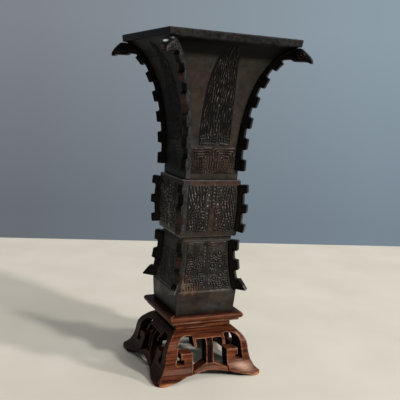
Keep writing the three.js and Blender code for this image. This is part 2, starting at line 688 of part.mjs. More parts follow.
const object = new THREE.Group();
object.add(vase, stand);

export default object;
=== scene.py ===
import math

import bmesh
import bpy
import numpy as np
from mathutils import Matrix, Vector
from mathutils.kdtree import KDTree


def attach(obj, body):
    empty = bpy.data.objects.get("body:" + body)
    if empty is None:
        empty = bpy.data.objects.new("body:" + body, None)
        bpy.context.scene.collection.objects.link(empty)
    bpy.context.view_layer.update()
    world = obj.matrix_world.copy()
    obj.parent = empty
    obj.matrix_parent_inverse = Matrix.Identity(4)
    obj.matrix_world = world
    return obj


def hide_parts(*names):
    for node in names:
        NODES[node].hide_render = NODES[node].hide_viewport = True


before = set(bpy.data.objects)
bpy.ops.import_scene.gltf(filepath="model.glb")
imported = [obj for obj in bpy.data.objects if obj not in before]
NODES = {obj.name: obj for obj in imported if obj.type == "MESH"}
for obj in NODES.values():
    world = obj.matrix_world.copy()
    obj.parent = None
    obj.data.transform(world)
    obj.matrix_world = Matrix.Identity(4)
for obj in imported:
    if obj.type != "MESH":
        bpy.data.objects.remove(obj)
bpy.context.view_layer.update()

# Square bronze vase with notched corner flanges on its pierced rosewood stand. Lengths are in
# millimetres and are brought to metres when a mesh, a lamp or the camera is made.
MM = 0.001
QUARTER = math.pi / 2
DIAGONAL = math.sqrt(2)
CORNERS = ("front_left", "front_right", "back_right", "back_left")
FACES = ("front", "right", "back", "left")
LEFT = FACES.index("left")

# Camera, fitted to the photograph
CAM_AZIMUTH = -24.5
CAM_ELEVATION = 9.2
CAM_ROLL = 3.5
CAM_DISTANCE = 479.0
CAM_SIDE = 1.1
CAM_AIM = 123.4
CAM_NEAR = 10.0
CAM_FOCAL = 652.0
IMAGE_WIDTH = 400.0
SENSOR = 36.0

# The table's far edge in the photograph, carried to the table's plane, how far the floor runs
# towards the camera, and its cloth
TABLE_EDGE = ((-1709.0, 857.0), (2078.0, -136.0))
TABLE_NEAR = -2500.0
CLOTH = ((0.3, (0.66, 0.625, 0.535)), (0.7, (0.73, 0.695, 0.605)))
CLOTH_CLOUD = 0.012
CLOTH_WEAVE = 0.9

# The wall: its colours from low to high at its left and right ends
WALL_LEFT = ((0.0, (0.135, 0.152, 0.17)), (1.0, (0.212, 0.231, 0.254)))
WALL_RIGHT = ((0.0, (0.184, 0.235, 0.283)), (1.0, (0.266, 0.337, 0.392)))
WALL_HEIGHTS = (-0.18, 0.1)
WALL_ACROSS = (0.91, -0.415, 0)
WALL_ENDS = (-0.25, 0.25)

# The room's light: dim, with a bright cap overhead and a soft patch behind on the right
ROOM_LIGHT = 0.72
ROOM_TOP = (0.2, -0.12, 0.97)
ROOM_TONES = ((0.0, (0.012, 0.013, 0.0145)), (0.83, (0.02, 0.021, 0.022)), (0.9, (1.2, 1.2, 1.2)))
ROOM_BEHIND = (0.5, 0.86, 0.1)
BEHIND_TONES = ((0.72, (0, 0, 0)), (0.9, (0.85, 0.87, 0.9)))

# Windows: name, place and power
WINDOWS = (("near_window", (2033, -3823, 2500), 152.0), ("far_window", (3551, -2980, 1873), 149.0))
WINDOW_AIM = (0, 0, 80)
WINDOW_SIZE = 420
WINDOW_COLOUR = (1.0, 0.975, 0.94)

# Vase: heights, half widths across its flat sides, thicknesses, gaps and rounded edges
FOOT_BASE = 44.3
TIER_BASE = 60.5
LOWER_BAND = 97.7
BELLY_BASE = 100.6
BELLY_TOP = 141.3
NECK_BASE = 147.5
LIP_BASE = 235.0
MOUTH_TOP = 240.0
FOOT_HALF = 22.7
BAND_HALF = 23.7
TIER_TOP_HALF = 19.6
TIER_SPREAD = 3.7
TIER_INSIDE_HALF = 20.7
FOOT_INSIDE = (18.5, 72.0)
LOWER_BAND_HALF = 19.1
BELLY_LOW_HALF = 21.5
BELLY_WIDENS = 0.7
BELLY_SWELL = 1.1
UPPER_BAND_HALF = 20.2
NECK_HALF = 20.3
NECK_SPREAD = 26.2
FLARE_RISE = 89.0
FLARE_POWER = 2.3
LIP_HALF = 47.9
RIM_HALF = 48.5
RIM_WIDTH = 4.0
CAST_WALL = 2.6
BELLY_SHELL = 2.4
GAP = 0.3
ARRIS = 0.45
EDGE_RADIUS = 0.5

# Meshes of the castings: steps up their sides, columns across a side
ROW_STEP = 0.8
NECK_FINE_STEP = 0.42
NECK_STEP = 0.62
NECK_INSIDE_STEP = 4.5
NECK_FINE_TOP = 9.0
NECK_COLUMNS = 103
PANEL_COLUMNS = 137
BELLY_ROWS = 127
TIER_ROWS = 117
ARRIS_STEPS = 5
ROUND_STEPS = 3

# What each point of a mesh carries: tone of the relief, rust, grey bloom and the painted shade of
# its side
# The tone of the relief also carries painted shadow and glints, and the grey bloom painted
# highlights and sheen
TONES = ("relief", "rust", "bloom", "shade")
PLAIN = 0.5
# Painted shade: the left side of each casting is darker than the others
SIDE_PAINTED_SHADE = (1.0, 1.0, 1.0, 0.66)
CAST_WEAR = 0.25
CARVED_WEAR = 0.12
WEAR_ROUNDS = 3


# Camera, stage and light

def linked(name, data):
    """A new object in the scene."""
    made = bpy.data.objects.new(name, data)
    bpy.context.scene.collection.objects.link(made)
    return made


def add_camera():
    azimuth, elevation, roll = (math.radians(v) for v in (CAM_AZIMUTH, CAM_ELEVATION, CAM_ROLL))
    level = math.cos(elevation)
    back = Vector((math.sin(azimuth) * level, -math.cos(azimuth) * level, math.sin(elevation)))
    right = Vector((math.cos(azimuth), math.sin(azimuth), 0))
    up = back.cross(right)
    side = right * math.cos(roll) + up * math.sin(roll)
    top = up * math.cos(roll) - right * math.sin(roll)
    data = bpy.data.cameras.new("camera")
    data.sensor_fit = "HORIZONTAL"
    data.sensor_width = SENSOR
    data.lens = CAM_FOCAL / IMAGE_WIDTH * SENSOR
    data.clip_start = CAM_NEAR * MM
    camera = linked("camera", data)
    eye = Vector((0, 0, CAM_AIM)) + back * CAM_DISTANCE + side * CAM_SIDE
    turn = Matrix((side, top, back)).transposed().to_4x4()
    camera.matrix_world = Matrix.Translation(eye * MM) @ turn
    bpy.context.scene.camera = camera


class Graph:
    """A node tree that is written as nested calls: a socket given as a value is linked."""

    def __init__(self, owner):
        owner.use_nodes = True
        self.tree = owner.node_tree
        self.tree.nodes.clear()

    def add(self, kind, inputs=None, **settings):
        node = self.tree.nodes.new(kind)
        for key, value in settings.items():
            setattr(node, key, value)
        for key, value in (inputs or {}).items():
            socket = node.inputs[key]
            if isinstance(value, bpy.types.NodeSocket):
                self.tree.links.new(value, socket)
            else:
                socket.default_value = (*value, 1) if socket.type == "RGBA" else value
        return node

    def math(self, operation, *values, clamp=False):
        inputs = dict(enumerate(values))
        return self.add("ShaderNodeMath", inputs, operation=operation, use_clamp=clamp).outputs[0]

    def times(self, *values, clamp=False):
        return self.math("MULTIPLY", *values, clamp=clamp)

    def along(self, vector, way):
        inputs = {0: vector, 1: way}
        node = self.add("ShaderNodeVectorMath", inputs, operation="DOT_PRODUCT")
        return node.outputs["Value"]

    def noise(self, vector, scale, detail=3.0, rough=0.55, distort=0.0):
        inputs = {"Vector": vector, "Scale": scale, "Detail": detail, "Roughness": rough,
                  "Distortion": distort}
        return self.add("ShaderNodeTexNoise", inputs).outputs["Fac"]

    def ramp(self, factor, stops):
        node = self.add("ShaderNodeValToRGB", {"Fac": factor})
        elements = node.color_ramp.elements
        while len(elements) < len(stops):
            elements.new(0.5)
        for element, (place, colour) in zip(elements, stops):
            element.position = place
            element.color = (*colour, 1)
        return node.outputs["Color"]

    def level(self, factor, low, high, to_low=0.0, to_high=1.0):
        inputs = {"Value": factor, "From Min": low, "From Max": high,
                  "To Min": to_low, "To Max": to_high}
        return self.add("ShaderNodeMapRange", inputs).outputs["Result"]

    def mix(self, factor, a, b, blend="MIX"):
        inputs = {0: factor, 6: a, 7: b}
        return self.add("ShaderNodeMix", inputs, data_type="RGBA", blend_type=blend).outputs[2]

    def shaded(self, colour, shade):
        grey = self.add("ShaderNodeCombineColor", {0: shade, 1: shade, 2: shade}).outputs[0]
        return self.mix(1.0, colour, grey, "MULTIPLY")

    def bump(self, height, strength, distance):
        inputs = {"Strength": strength, "Distance": distance * MM, "Height": height}
        return self.add("ShaderNodeBump", inputs).outputs[0]

    def attribute(self, name):
        return self.add("ShaderNodeAttribute", attribute_name=name).outputs["Fac"]

    def place(self, scale=(1, 1, 1), spread=0.0):
        """The piece's own coordinates in millimetres, moved by a share that differs by copy."""
        own = self.add("ShaderNodeTexCoord").outputs["Object"]
        inputs = {0: own, 1: [v / MM for v in scale]}
        scaled = self.add("ShaderNodeVectorMath", inputs, operation="MULTIPLY").outputs[0]
        shift = self.times(self.add("ShaderNodeObjectInfo").outputs["Random"], spread)
        inputs = {0: scaled, 1: shift}
        return self.add("ShaderNodeVectorMath", inputs, operation="ADD").outputs[0]

    def surface(self, **inputs):
        inputs = {key.replace("_", " "): value for key, value in inputs.items()}
        shader = self.add("ShaderNodeBsdfPrincipled", inputs)
        out = self.add("ShaderNodeOutputMaterial")
        self.tree.links.new(shader.outputs[0], out.inputs["Surface"])


def new_material(name):
    material = bpy.data.materials.new(name)
    return material, Graph(material)


def add_floor():
    (x0, y0), (x1, y1) = TABLE_EDGE
    points = [(x0, TABLE_NEAR, 0), (x1, TABLE_NEAR, 0), (x1, y1, 0), (x0, y0, 0)]
    material, g = new_material("pale_floor")
    where = g.place()
    weave = g.noise(where, CLOTH_WEAVE, 4.0)
    colour = g.ramp(g.noise(where, CLOTH_CLOUD, 2.0), CLOTH)
    g.surface(Base_Color=colour, Roughness=0.9, Normal=g.bump(weave, 0.15, 0.2))
    floor = add_mesh("floor", np.array(points, float), [(0, 1, 2, 3)], material)


def add_world():
    """The wall as the camera and the reflections see it, and the room that lights the pieces."""
    world = bpy.data.worlds.new("studio")
    bpy.context.scene.world = world
    g = Graph(world)
    ray = g.add("ShaderNodeLightPath").outputs
    seen = g.math("MAXIMUM", ray["Is Camera Ray"], ray["Is Glossy Ray"])
    seen = g.math("MAXIMUM", seen, ray["Is Transmission Ray"])
    way = g.add("ShaderNodeTexCoord").outputs["Generated"]
    height = g.level(g.add("ShaderNodeSeparateXYZ", {0: way}).outputs["Z"], *WALL_HEIGHTS)
    across = g.level(g.along(way, WALL_ACROSS), *WALL_ENDS)
    wall = g.mix(across, g.ramp(height, WALL_LEFT), g.ramp(height, WALL_RIGHT))
    room = g.ramp(g.level(g.along(way, ROOM_TOP), -1.0, 1.0), ROOM_TONES)
    room = g.mix(1.0, room, g.ramp(g.along(way, ROOM_BEHIND), BEHIND_TONES), "ADD")
    wall_light = g.add("ShaderNodeBackground", {"Color": wall, "Strength": 1.0}).outputs[0]
    room_light = g.add("ShaderNodeBackground", {"Color": room, "Strength": ROOM_LIGHT}).outputs[0]
    both = g.add("ShaderNodeMixShader", {0: seen, 1: room_light, 2: wall_light}).outputs[0]
    out = g.add("ShaderNodeOutputWorld")
    g.tree.links.new(both, out.inputs["Surface"])


def add_window(name, place, power):
    data = bpy.data.lights.new(name, "AREA")
    data.shape = "RECTANGLE"
    data.size = data.size_y = WINDOW_SIZE * MM
    data.energy = power
    data.color = WINDOW_COLOUR
    lamp = linked(name, data)
    lamp.location = Vector(place) * MM
    lamp.rotation_euler = (Vector(WINDOW_AIM) - Vector(place)).to_track_quat("-Z", "Y").to_euler()


# Meshes

def add_mesh(name, points, faces, material, **attributes):
    mesh = bpy.data.meshes.new(name)
    mesh.from_pydata((np.asarray(points) * MM).tolist(), [], np.asarray(faces).tolist())
    mesh.polygons.foreach_set("use_smooth", np.ones(len(mesh.polygons), bool))
    store(mesh, attributes)
    mesh.materials.append(material)
    mesh.update()
    return linked(name, mesh)


def store(mesh, attributes):
    for name, values in attributes.items():
        attribute = mesh.attributes.new(name, "FLOAT", "POINT")
        attribute.data.foreach_set("value", np.asarray(values, np.float32))


def put(mesh, points):
    mesh.vertices.foreach_set("co", points.reshape(-1).astype(np.float32))
    mesh.update()


def points_of(mesh):
    points = np.zeros(len(mesh.vertices) * 3, np.float32)
    mesh.vertices.foreach_get("co", points)
    return points.reshape(-1, 3).astype(float)


def normals_of(mesh):
    normals = np.zeros(len(mesh.vertices) * 3, np.float32)
    mesh.vertex_normals.foreach_get("vector", normals)
    return normals.reshape(-1, 3).astype(float)


def edges_of(mesh):
    pairs = np.zeros(len(mesh.edges) * 2, np.int64)
    mesh.edges.foreach_get("vertices", pairs)
    return pairs.reshape(-1, 2)


def neighbour_mean(values, pairs):
    """Mean of each point's neighbours."""
    count = len(values)
    ends, others = np.concatenate([pairs, pairs[:, ::-1]]).T
    degree = np.maximum(np.bincount(ends, minlength=count), 1)
    sums = [np.bincount(ends, column[others], minlength=count) for column in values.T]
    return np.stack([column / degree for column in sums], 1)


def relaxed(values, pairs, rounds):
    """Values moved half of the way to their neighbours' mean, a number of times."""
    for _ in range(rounds):
        values = values + 0.5 * (neighbour_mean(values, pairs) - values)
    return values


def edge_wear(points, normals, pairs, reach):
    """0.5 on flat ground, towards 1 on outward edges and towards 0 in hollows."""
    bend = np.sum(normals * (points - neighbour_mean(points, pairs)), 1)[:, None]
    bend = relaxed(bend, pairs, WEAR_ROUNDS)[:, 0]
    return np.clip(0.5 + bend / reach, 0, 1)


# Relief: height fields over a flat side, in millimetres

LINE_SOFT = 0.2
RIDGE_EDGES = (-0.55, 0.45)
FLECK_EDGES = (0.5, 0.72)
CLOUD_CELLS = 64
WOBBLE = 0.8
WOBBLE_SIZE = 5.0
MAZE_SIZE = 256
MAZE_STEP = 0.2
MAZE_SPREAD = 0.16
MAZE_STRICT = 6
MAZE_EDGES = (-0.25, 0.85)

# Ragged edges of patches: strength, size, shift and seed of the clouds that move them
RAGGED = ((0.7, 2.2, 33, 61), (0.6, 5.0, 71, 62))
PATCH_FADE = (0.2, 1.35)


def eased(x, low, high):
    t = np.clip((x - low) / (high - low), 0, 1)
    return t * t * (3 - 2 * t)


def ridge(turns):
    """1 along the lines of a pattern and 0 between them, once a turn."""
    return eased(np.cos(2 * np.pi * turns), *RIDGE_EDGES)


def line(x, middle, half):
    """1 on a raised line, 0 off it."""
    return 1 - eased(np.abs(x - middle), half - LINE_SOFT, half + LINE_SOFT)


def within(x, low, high):
    return (x >= low) & (x <= high)


def cloud(x, y, size, seed):
    """Soft random patches between 0 and 1, about as wide as the size."""
    table = np.random.default_rng(seed).random((CLOUD_CELLS, CLOUD_CELLS))
    x, y = np.broadcast_arrays(x / size, y / size)
    column, row = np.floor(x).astype(int), np.floor(y).astype(int)
    fx, fy = eased(x - column, 0, 1), eased(y - row, 0, 1)

    def corner(i, j):
        return table[(row + j) % CLOUD_CELLS, (column + i) % CLOUD_CELLS]

    low = corner(0, 0) * (1 - fx) + corner(1, 0) * fx
    high = corner(0, 1) * (1 - fx) + corner(1, 1) * fx
    return low * (1 - fy) + high * fy


def wobble(s, z, seed):
    """Places moved a little in soft patches, so that lines look drawn by hand."""
    across = WOBBLE * (cloud(s + 50, z, WOBBLE_SIZE, seed) - 0.5)
    up = WOBBLE * (cloud(s + 90, z, WOBBLE_SIZE, seed + 1) - 0.5)
    return s + across, z + up


def flecks(x, y, wide, tall, seed):
    """Irregular raised marks, about as wide and as tall as given."""
    return eased(cloud(x / wide, y / tall, 1.0, seed), *FLECK_EDGES)


def maze(x, y, pitch, upright, seed):
    """Winding lines of a worn thunder pattern, a pitch apart, with a share of upright ones."""
    noise = np.random.default_rng(seed).standard_normal((MAZE_SIZE, MAZE_SIZE))
    places = np.fft.fftfreq(MAZE_SIZE, MAZE_STEP)
    up, across = np.meshgrid(places, places, indexing="ij")
    far = np.maximum(np.hypot(across, up), 1e-6)
    level, steep = np.abs(up / far) ** MAZE_STRICT, np.abs(across / far) ** MAZE_STRICT
    weight = np.exp(-((far * pitch - 1) / MAZE_SPREAD) ** 2)
    weight *= upright * steep + (1 - upright) * level
    lines = np.fft.ifft2(np.fft.fft2(noise) * weight).real
    x, y = np.broadcast_arrays(x, y)
    row, column = (np.floor(v / MAZE_STEP).astype(int) % MAZE_SIZE for v in (y, x))
    return eased(lines[row, column] / lines.std(), *MAZE_EDGES)


def blotch(s, z, patches):
    """Soft ragged patches: each has its middle, half width, half height and strength."""
    ragged = sum(share * (cloud(s + shift, z, size, seed) - 0.5)
                 for share, size, shift, seed in RAGGED)
    made = np.zeros(np.broadcast_shapes(s.shape, z.shape))
    for across, up, wide, tall, strength in patches:
        far = np.hypot((s - across) / wide, (z - up) / tall) + ragged
        made = np.maximum(made, strength * (1 - eased(far, *PATCH_FADE)))
    return made


def filled(rows, longest):
    """A profile with points put in wherever two are farther apart than the longest step."""
    made = [rows[:1]]
    for start, end in zip(rows[:-1], rows[1:]):
        steps = max(math.ceil(np.linalg.norm(end - start) / longest), 1)
        made.append(start + (end - start) * (np.arange(1, steps + 1) / steps)[:, None])
    return np.concatenate(made)


def rounded(points, radius):
    """A profile with rounded corners: points are (half width, height, share of the radius)."""
    made = []
    for i, (half, z, share) in enumerate(points):
        here = np.array([half, z])
        if share == 0 or i in (0, len(points) - 1):
            made.append(here)
            continue
        ends = []
        for other in (points[i - 1], points[i + 1]):
            way = np.array(other[:2]) - here
            length = np.linalg.norm(way)
            ends.append(here + way * min(radius * share / length, 0.5))
        for t in np.linspace(0, 1, ROUND_STEPS + 1):
            made.append((1 - t) ** 2 * ends[0] + 2 * t * (1 - t) * here + t ** 2 * ends[1])
    return np.array(made)


def casting(name, outer, inner, columns, relief, spread=None):
    """A hollow square casting: rows go up its outside and down its inside, columns round it."""
    outer = filled(outer, ROW_STEP)
    rows = np.concatenate([outer, inner])
    half, z = rows[:, :1], rows[:, 1:]
    q = np.linspace(-1, 1, columns)[None, :]
    s = q * (half - ARRIS)
    count = len(outer)
    slope = np.gradient(outer, axis=0)
    slope /= np.linalg.norm(slope, axis=1, keepdims=True)
    if spread is not None:
        s[:count] = spread(q, half[:count], z[:count])
    out = np.zeros((len(rows), 1))
    lift = np.zeros((len(rows), 1))
    out[:count, 0], lift[:count, 0] = slope[:, 1], -slope[:, 0]
    arc = np.linspace(-QUARTER, 0, ARRIS_STEPS)[None, 1:-1]
    corner = half - ARRIS
    bend = np.stack([corner + ARRIS * np.cos(arc), -corner + ARRIS * np.sin(arc), z + 0 * arc], -1)
    grid, tones = [], []
    # Each side carries its painted shade in the shade tone
    for turn, side_shade in enumerate(SIDE_PAINTED_SHADE):
        height = np.zeros(s.shape)
        tone = np.zeros((len(TONES), *s.shape))
        tone[0], tone[3] = PLAIN, side_shade
        height[:count], *tone[:3, :count] = relief(s[:count], half[:count], z[:count], turn)
        side = np.stack([s, -(half + height * out), z + height * lift], -1)
        quarter = np.concatenate([side, bend], 1)
        for _ in range(turn):
            x, y, up = np.moveaxis(quarter, -1, 0)
            quarter = np.stack([-y, x, up], -1)
        grid.append(quarter)
        tones.append(np.concatenate([tone, np.repeat(tone[:, :, -1:], bend.shape[1], 2)], 2))
    grid, tones = np.concatenate(grid, 1), np.concatenate(tones, 2)
    total, across = grid.shape[:2]
    index = np.arange(total * across).reshape(total, across)
    after = np.roll(index, -1, 1)
    faces = np.stack([index, after, np.roll(after, -1, 0), np.roll(index, -1, 0)], -1)
    points = grid.reshape(-1, 3)
    piece = add_mesh(name, points, faces.reshape(-1, 4), BRONZE,
                     **{key: values.reshape(-1) for key, values in zip(TONES, tones)})
    wear = edge_wear(points, normals_of(piece.data), edges_of(piece.data), CAST_WEAR)
    store(piece.data, {"wear": wear})
    return piece


def dress(piece, body, slot, *nodes):
    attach(piece, body)
    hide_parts(*nodes)
    return piece


# The castings

RIDGE = 0.5
FIELD_RISE = 0.04
FIELD_RUB = (0.2, 0.9)
SIDE_SEEDS = 100
NECK_SEED = 5
BELLY_SEED = 21
FOOT_SEED = 31
LEAF_START = 165.6
LEAF_HALF = 12.0
LEAF_BULGE = 216.0
LEAF_BULGE_HALF = 12.4
LEAF_SHOULDER = 231.4
LEAF_SHOULDER_HALF = 5.0
LEAF_TIP = 234.1
LEAF_SHARE = 0.72
LEAF_CURLS = 8.0
LEAF_PITCH = 1.9
NARROWEST = 3.6
NECK_GROUND = 0.0
NECK_LEFT_PAINTED_SHADE = 0.26
LIP_SHADOW = (222, 229)
NECK_RUST_LOW = (168, 180)
NECK_RUST_HIGH = (214, 224)
BAND_RUST = (145.0, 146.5)
COLLAR_LOW = 145.6
COLLAR_HIGH = 164.0
COLLAR_HALF = 16.6
COLLAR_PITCH = 1.8
ARCHES_FOOT = 157.0
ARCHES_MIDDLE = 8.8
ARCHES_FLAT = 2.4
ARCHES_ROUND = 7
EYE_OUT = 6.4
BELLY_MIDDLE = 122.05
BELLY_MARGIN = 4.2
BELLY_FIELD = (-17.4, 15.6)
BELLY_GROUND = 0.16
BELLY_LEFT_PAINTED_CONTRAST = 2.7
SILL_PAINTED_REFLECTION = 0.6
SILL_LEFT_PAINTED_REFLECTION = 3.0
BELLY_PITCH = 2.0
TIER_MARGIN = 4.3
TIER_FIELD = 17.0
TIER_GROUND = 0.12
TIER_HALF = 16.4
TIER_MIDDLE = (TIER_BASE + LOWER_BAND) / 2

# Bosses of the belly's panel: place across and up from its middle, and size
BELLY_BOSSES = ((6.3, 12.1, 1.2), (4.6, 2.4, 1.4), (4.2, -8.6, 1.2), (4.6, -13.4, 1.2),
                (-2.8, 8.8, 1.1), (-3.6, 5.0, 0.9), (-3.4, 0.8, 1.1), (-3.8, -4.4, 0.9))

# Rings of the foot's panel: place across and up from its middle, size and strength
TIER_RINGS = ((4.9, -0.6, 1.8, 1.0), (10.8, -1.0, 2.0, 0.5), (10.6, -7.2, 1.8, 0.6),
              (5.2, -9.0, 1.5, 0.6), (11.0, 8.6, 1.7, 0.7))

# Ragged patches on a side: middle across and up, half width, half height and strength
NECK_RUST = ((-15.0, 198.0, 8.0, 22.0, 0.32), (14.5, 180.0, 5.0, 24.0, 0.25))
NECK_BLOOM = ((-18.0, 150.0, 4.0, 9.0, 1.1), (-17.5, 164.0, 5.0, 7.0, 0.5),
              (-19.0, 222.0, 9.0, 6.0, 0.3))
BELLY_RUST = ((5.0, BELLY_TOP - 2.3, 11.0, 2.6, 0.6), (1.5, 116.0, 9.0, 18.0, 0.42),
              (-18.0, 107.0, 5.0, 8.0, 0.3), (0.0, BELLY_BASE, 24.0, 3.0, 0.4))
BELLY_BLOOM = ((-20.0, 135.0, 4.5, 8.0, 1.2), (-20.5, 121.0, 3.0, 14.0, 0.9),
               (-21.0, 105.5, 5.0, 6.0, 0.9))
FOOT_RUST = ((-17.0, TIER_BASE + 4.5, 7.0, 9.0, 1.0), (-11.0, TIER_BASE + 2.2, 8.0, 3.2, 0.8),
             (10.0, TIER_BASE - 4.5, 12.0, 7.0, 0.4), (-17.0, TIER_BASE - 7.0, 5.0, 7.0, 0.3),
             (-6.0, TIER_BASE - 11.0, 9.0, 3.5, 0.35), (8.0, TIER_BASE + 33.5, 9.0, 3.0, 0.35))
FOOT_BLOOM = ((-3.5, TIER_BASE + 11.5, 3.5, 3.5, 0.8), (6.0, TIER_BASE - 11.5, 9.0, 2.6, 0.9),
              (18.0, TIER_BASE - 2.0, 4.0, 5.0, 0.6), (10.0, TIER_BASE + 14.0, 6.0, 12.0, 0.35))
FOOT_LEFT_BLOOM = ((-14.0, TIER_BASE - 6.0, 10.0, 9.0, 2.25),)
FOOT_GOLD = ((-17.0, TIER_BASE + 5.0, 6.0, 7.0, 1.3),)
FOOT_DARK = ((-7.5, TIER_BASE - 4.5, 6.0, 4.5, 1.0),)
FOOT_LIGHT = ((10.0, TIER_BASE - 4.5, 12.0, 7.0, 1.0),)


def flare(z):
    """Half width of the neck: part of a rounded square that turns outwards to the lip."""
    def turned(rise):
        return 1 - (1 - rise ** FLARE_POWER) ** (1 / FLARE_POWER)

    turn = turned(np.clip(z - NECK_BASE, 0, None) / FLARE_RISE)
    return NECK_HALF + NECK_SPREAD * turn / turned((LIP_BASE - NECK_BASE) / FLARE_RISE)


def leaf_half(z):
    t = np.linspace(0, 1, 40)
    pulls = np.stack([(1 - t) ** 2, 2 * t * (1 - t), t ** 2], 1)
    heights = pulls @ (LEAF_START, LEAF_BULGE, LEAF_SHOULDER)
    taper = np.interp(z, heights, pulls @ (LEAF_HALF, LEAF_BULGE_HALF, LEAF_SHOULDER_HALF))
    return taper * np.clip((LEAF_TIP - z) / (LEAF_TIP - LEAF_SHOULDER), 0, 1)


def flare_rows(low, high, spacing):
    """Points up the flare at even distances along it."""
    z = np.linspace(low, high, 2000)
    points = np.stack([flare(z), z], 1)
    length = np.concatenate([[0], np.cumsum(np.linalg.norm(np.diff(points, axis=0), axis=1))])
    even = np.interp(np.linspace(0, length[-1], round(length[-1] / spacing)), length, z)
    return np.stack([flare(even), even], 1)


def neck_spread(q, half, z):
    """Columns across the neck, drawn together on the leaf."""
    even = q * (half - ARRIS)
    leaf = np.maximum(leaf_half(z), NARROWEST)
    beyond = (np.abs(q) - LEAF_SHARE) / (1 - LEAF_SHARE)
    inside = q / LEAF_SHARE * leaf
    outside = np.sign(q) * (leaf + beyond * (half - ARRIS - leaf))
    fitted = np.where(np.abs(q) <= LEAF_SHARE, inside, outside)
    share = eased(z, COLLAR_HIGH + 0.2, LEAF_START - 0.2)
    share = share * (1 - eased(z, LIP_BASE - 0.05, LIP_BASE))
    return even + share * (fitted - even)


def leaf_lines(s, z, seed):
    """A plantain leaf: short upright strokes that close up towards its tip, over small curls."""
    width = leaf_half(z)
    x, y = wobble(s * LEAF_HALF / np.maximum(width, NARROWEST), z - LEAF_START, seed)
    broken = 0.3 + 0.8 * flecks(x, y, 1.0, 1.7, seed + 3)
    dashes = maze(x, y / 1.3, LEAF_PITCH, 0.9, seed + 2) * broken
    lines = np.where(y < LEAF_CURLS, 0.8 * maze(x, y, LEAF_PITCH, 0.5, seed + 4), dashes)
    lines = np.maximum(lines, 0.7 * line(y, 1.0, 0.4))
    inside = width - np.abs(s)
    lines = lines * eased(inside, 0.3, 1.2)
    return np.where((inside >= 0) & within(z, LEAF_START, LEAF_TIP), lines, np.nan)


def collar_lines(s, z, seed):
    """A mask panel: nested arches side by side, each round an eye, over small curls."""
    x, y = wobble(s, z, seed)
    curls = maze(x, y, COLLAR_PITCH, 0.5, seed + 2)
    x, y = np.abs(x), y - ARCHES_FOOT
    side = np.maximum(np.abs(x - ARCHES_MIDDLE) - ARCHES_FLAT, 0)
    reach = (side ** ARCHES_ROUND + np.maximum(y, 0) ** ARCHES_ROUND) ** (1 / ARCHES_ROUND)
    lines = ridge(reach / COLLAR_PITCH + 0.58)
    beside = (y < -1.0) & (x > 4.2) | (y < -8.0) | (x > 15.6)
    lines = np.where(beside, 0.32 + 0.6 * curls, lines)
    far = np.hypot(x - EYE_OUT, y + 0.4)
    eye = 1.5 * (1 - eased(far, 0.4, 1.0)) + 0.9 * line(far, 1.8, 0.35)
    lines = np.where(far < 2.2, eye, lines)
    inside = (np.abs(s) < COLLAR_HALF) & within(z, COLLAR_LOW, COLLAR_HIGH)
    return np.where(inside, 0.62 * lines, np.nan)


def worn(lines, s, z, seed, ground):
    """Heights and tones of a field's lines, rubbed and clogged in patches, on a ground's tone, with
    painted glints scattered on the lines.
    """
    field = ~np.isnan(lines)
    keep = 0.55 + 0.5 * eased(cloud(s + 40, z, 5.0, seed), 0.2, 0.7)
    keep = keep * (0.7 + 0.5 * cloud(s + 70, z, 1.1, seed + 1))
    # Painted glints: random bright spots on the lines
    painted_glints = 0.6 * eased(cloud(s + 15, z, 0.9, seed + 2), 0.68, 0.92)
    lines = np.nan_to_num(lines) * keep
    height = np.where(field, FIELD_RISE + RIDGE * np.minimum(lines, 1.2), 0.0)
    return height, np.where(field, ground + (1 - ground) * lines + painted_glints * lines, PLAIN)


def neck_relief(s, half, z, turn):
    """Height, tone, rust and bloom of one side of the neck and its lip, with a painted shadow under
    the lip and painted shade on the left side.
    """
    seed = NECK_SEED + SIDE_SEEDS * turn
    leaf, collar = leaf_lines(s, z, seed), collar_lines(s, z, seed + 10)
    height, tone = worn(np.where(np.isnan(leaf), collar, leaf), s, z, seed + 20, NECK_GROUND)
    lip = eased(z, LIP_BASE - 1.2, LIP_BASE - 0.4)
    speckle = flecks(s, z, 1.1, 0.9, seed + 6) - 0.5
    # The lip is toned darker, and the neck just under it is darkened as a painted shadow of the lip
    tone = tone - lip * (0.27 + 0.16 * speckle) - 0.55 * eased(z, *LIP_SHADOW) * (1 - lip)
    # Painted shade: the left side of the neck is toned darker
    tone = tone - (NECK_LEFT_PAINTED_SHADE if turn == LEFT else 0.0)
    rust = 0.25 * cloud(s, z, 12.0, seed + 3) * eased(z, *NECK_RUST_LOW)
    rust = rust * (1 - eased(z, *NECK_RUST_HIGH))
    rust = np.maximum(rust, blotch(s, z, NECK_RUST))
    band = 0.2 * (1 - eased(z, *BAND_RUST))
    rust = np.maximum(rust, np.where(np.isnan(collar), band, 0.4))
    rust = np.maximum(rust, 0.22 * lip * eased(cloud(s + 20, z, 9.0, seed + 7), 0.4, 0.8))
    bloom = np.maximum(np.where(np.isnan(leaf), 0, 0.25), blotch(s, z, NECK_BLOOM))
    return height, tone, rust, np.maximum(bloom, lip * (0.4 - 0.3 * speckle))


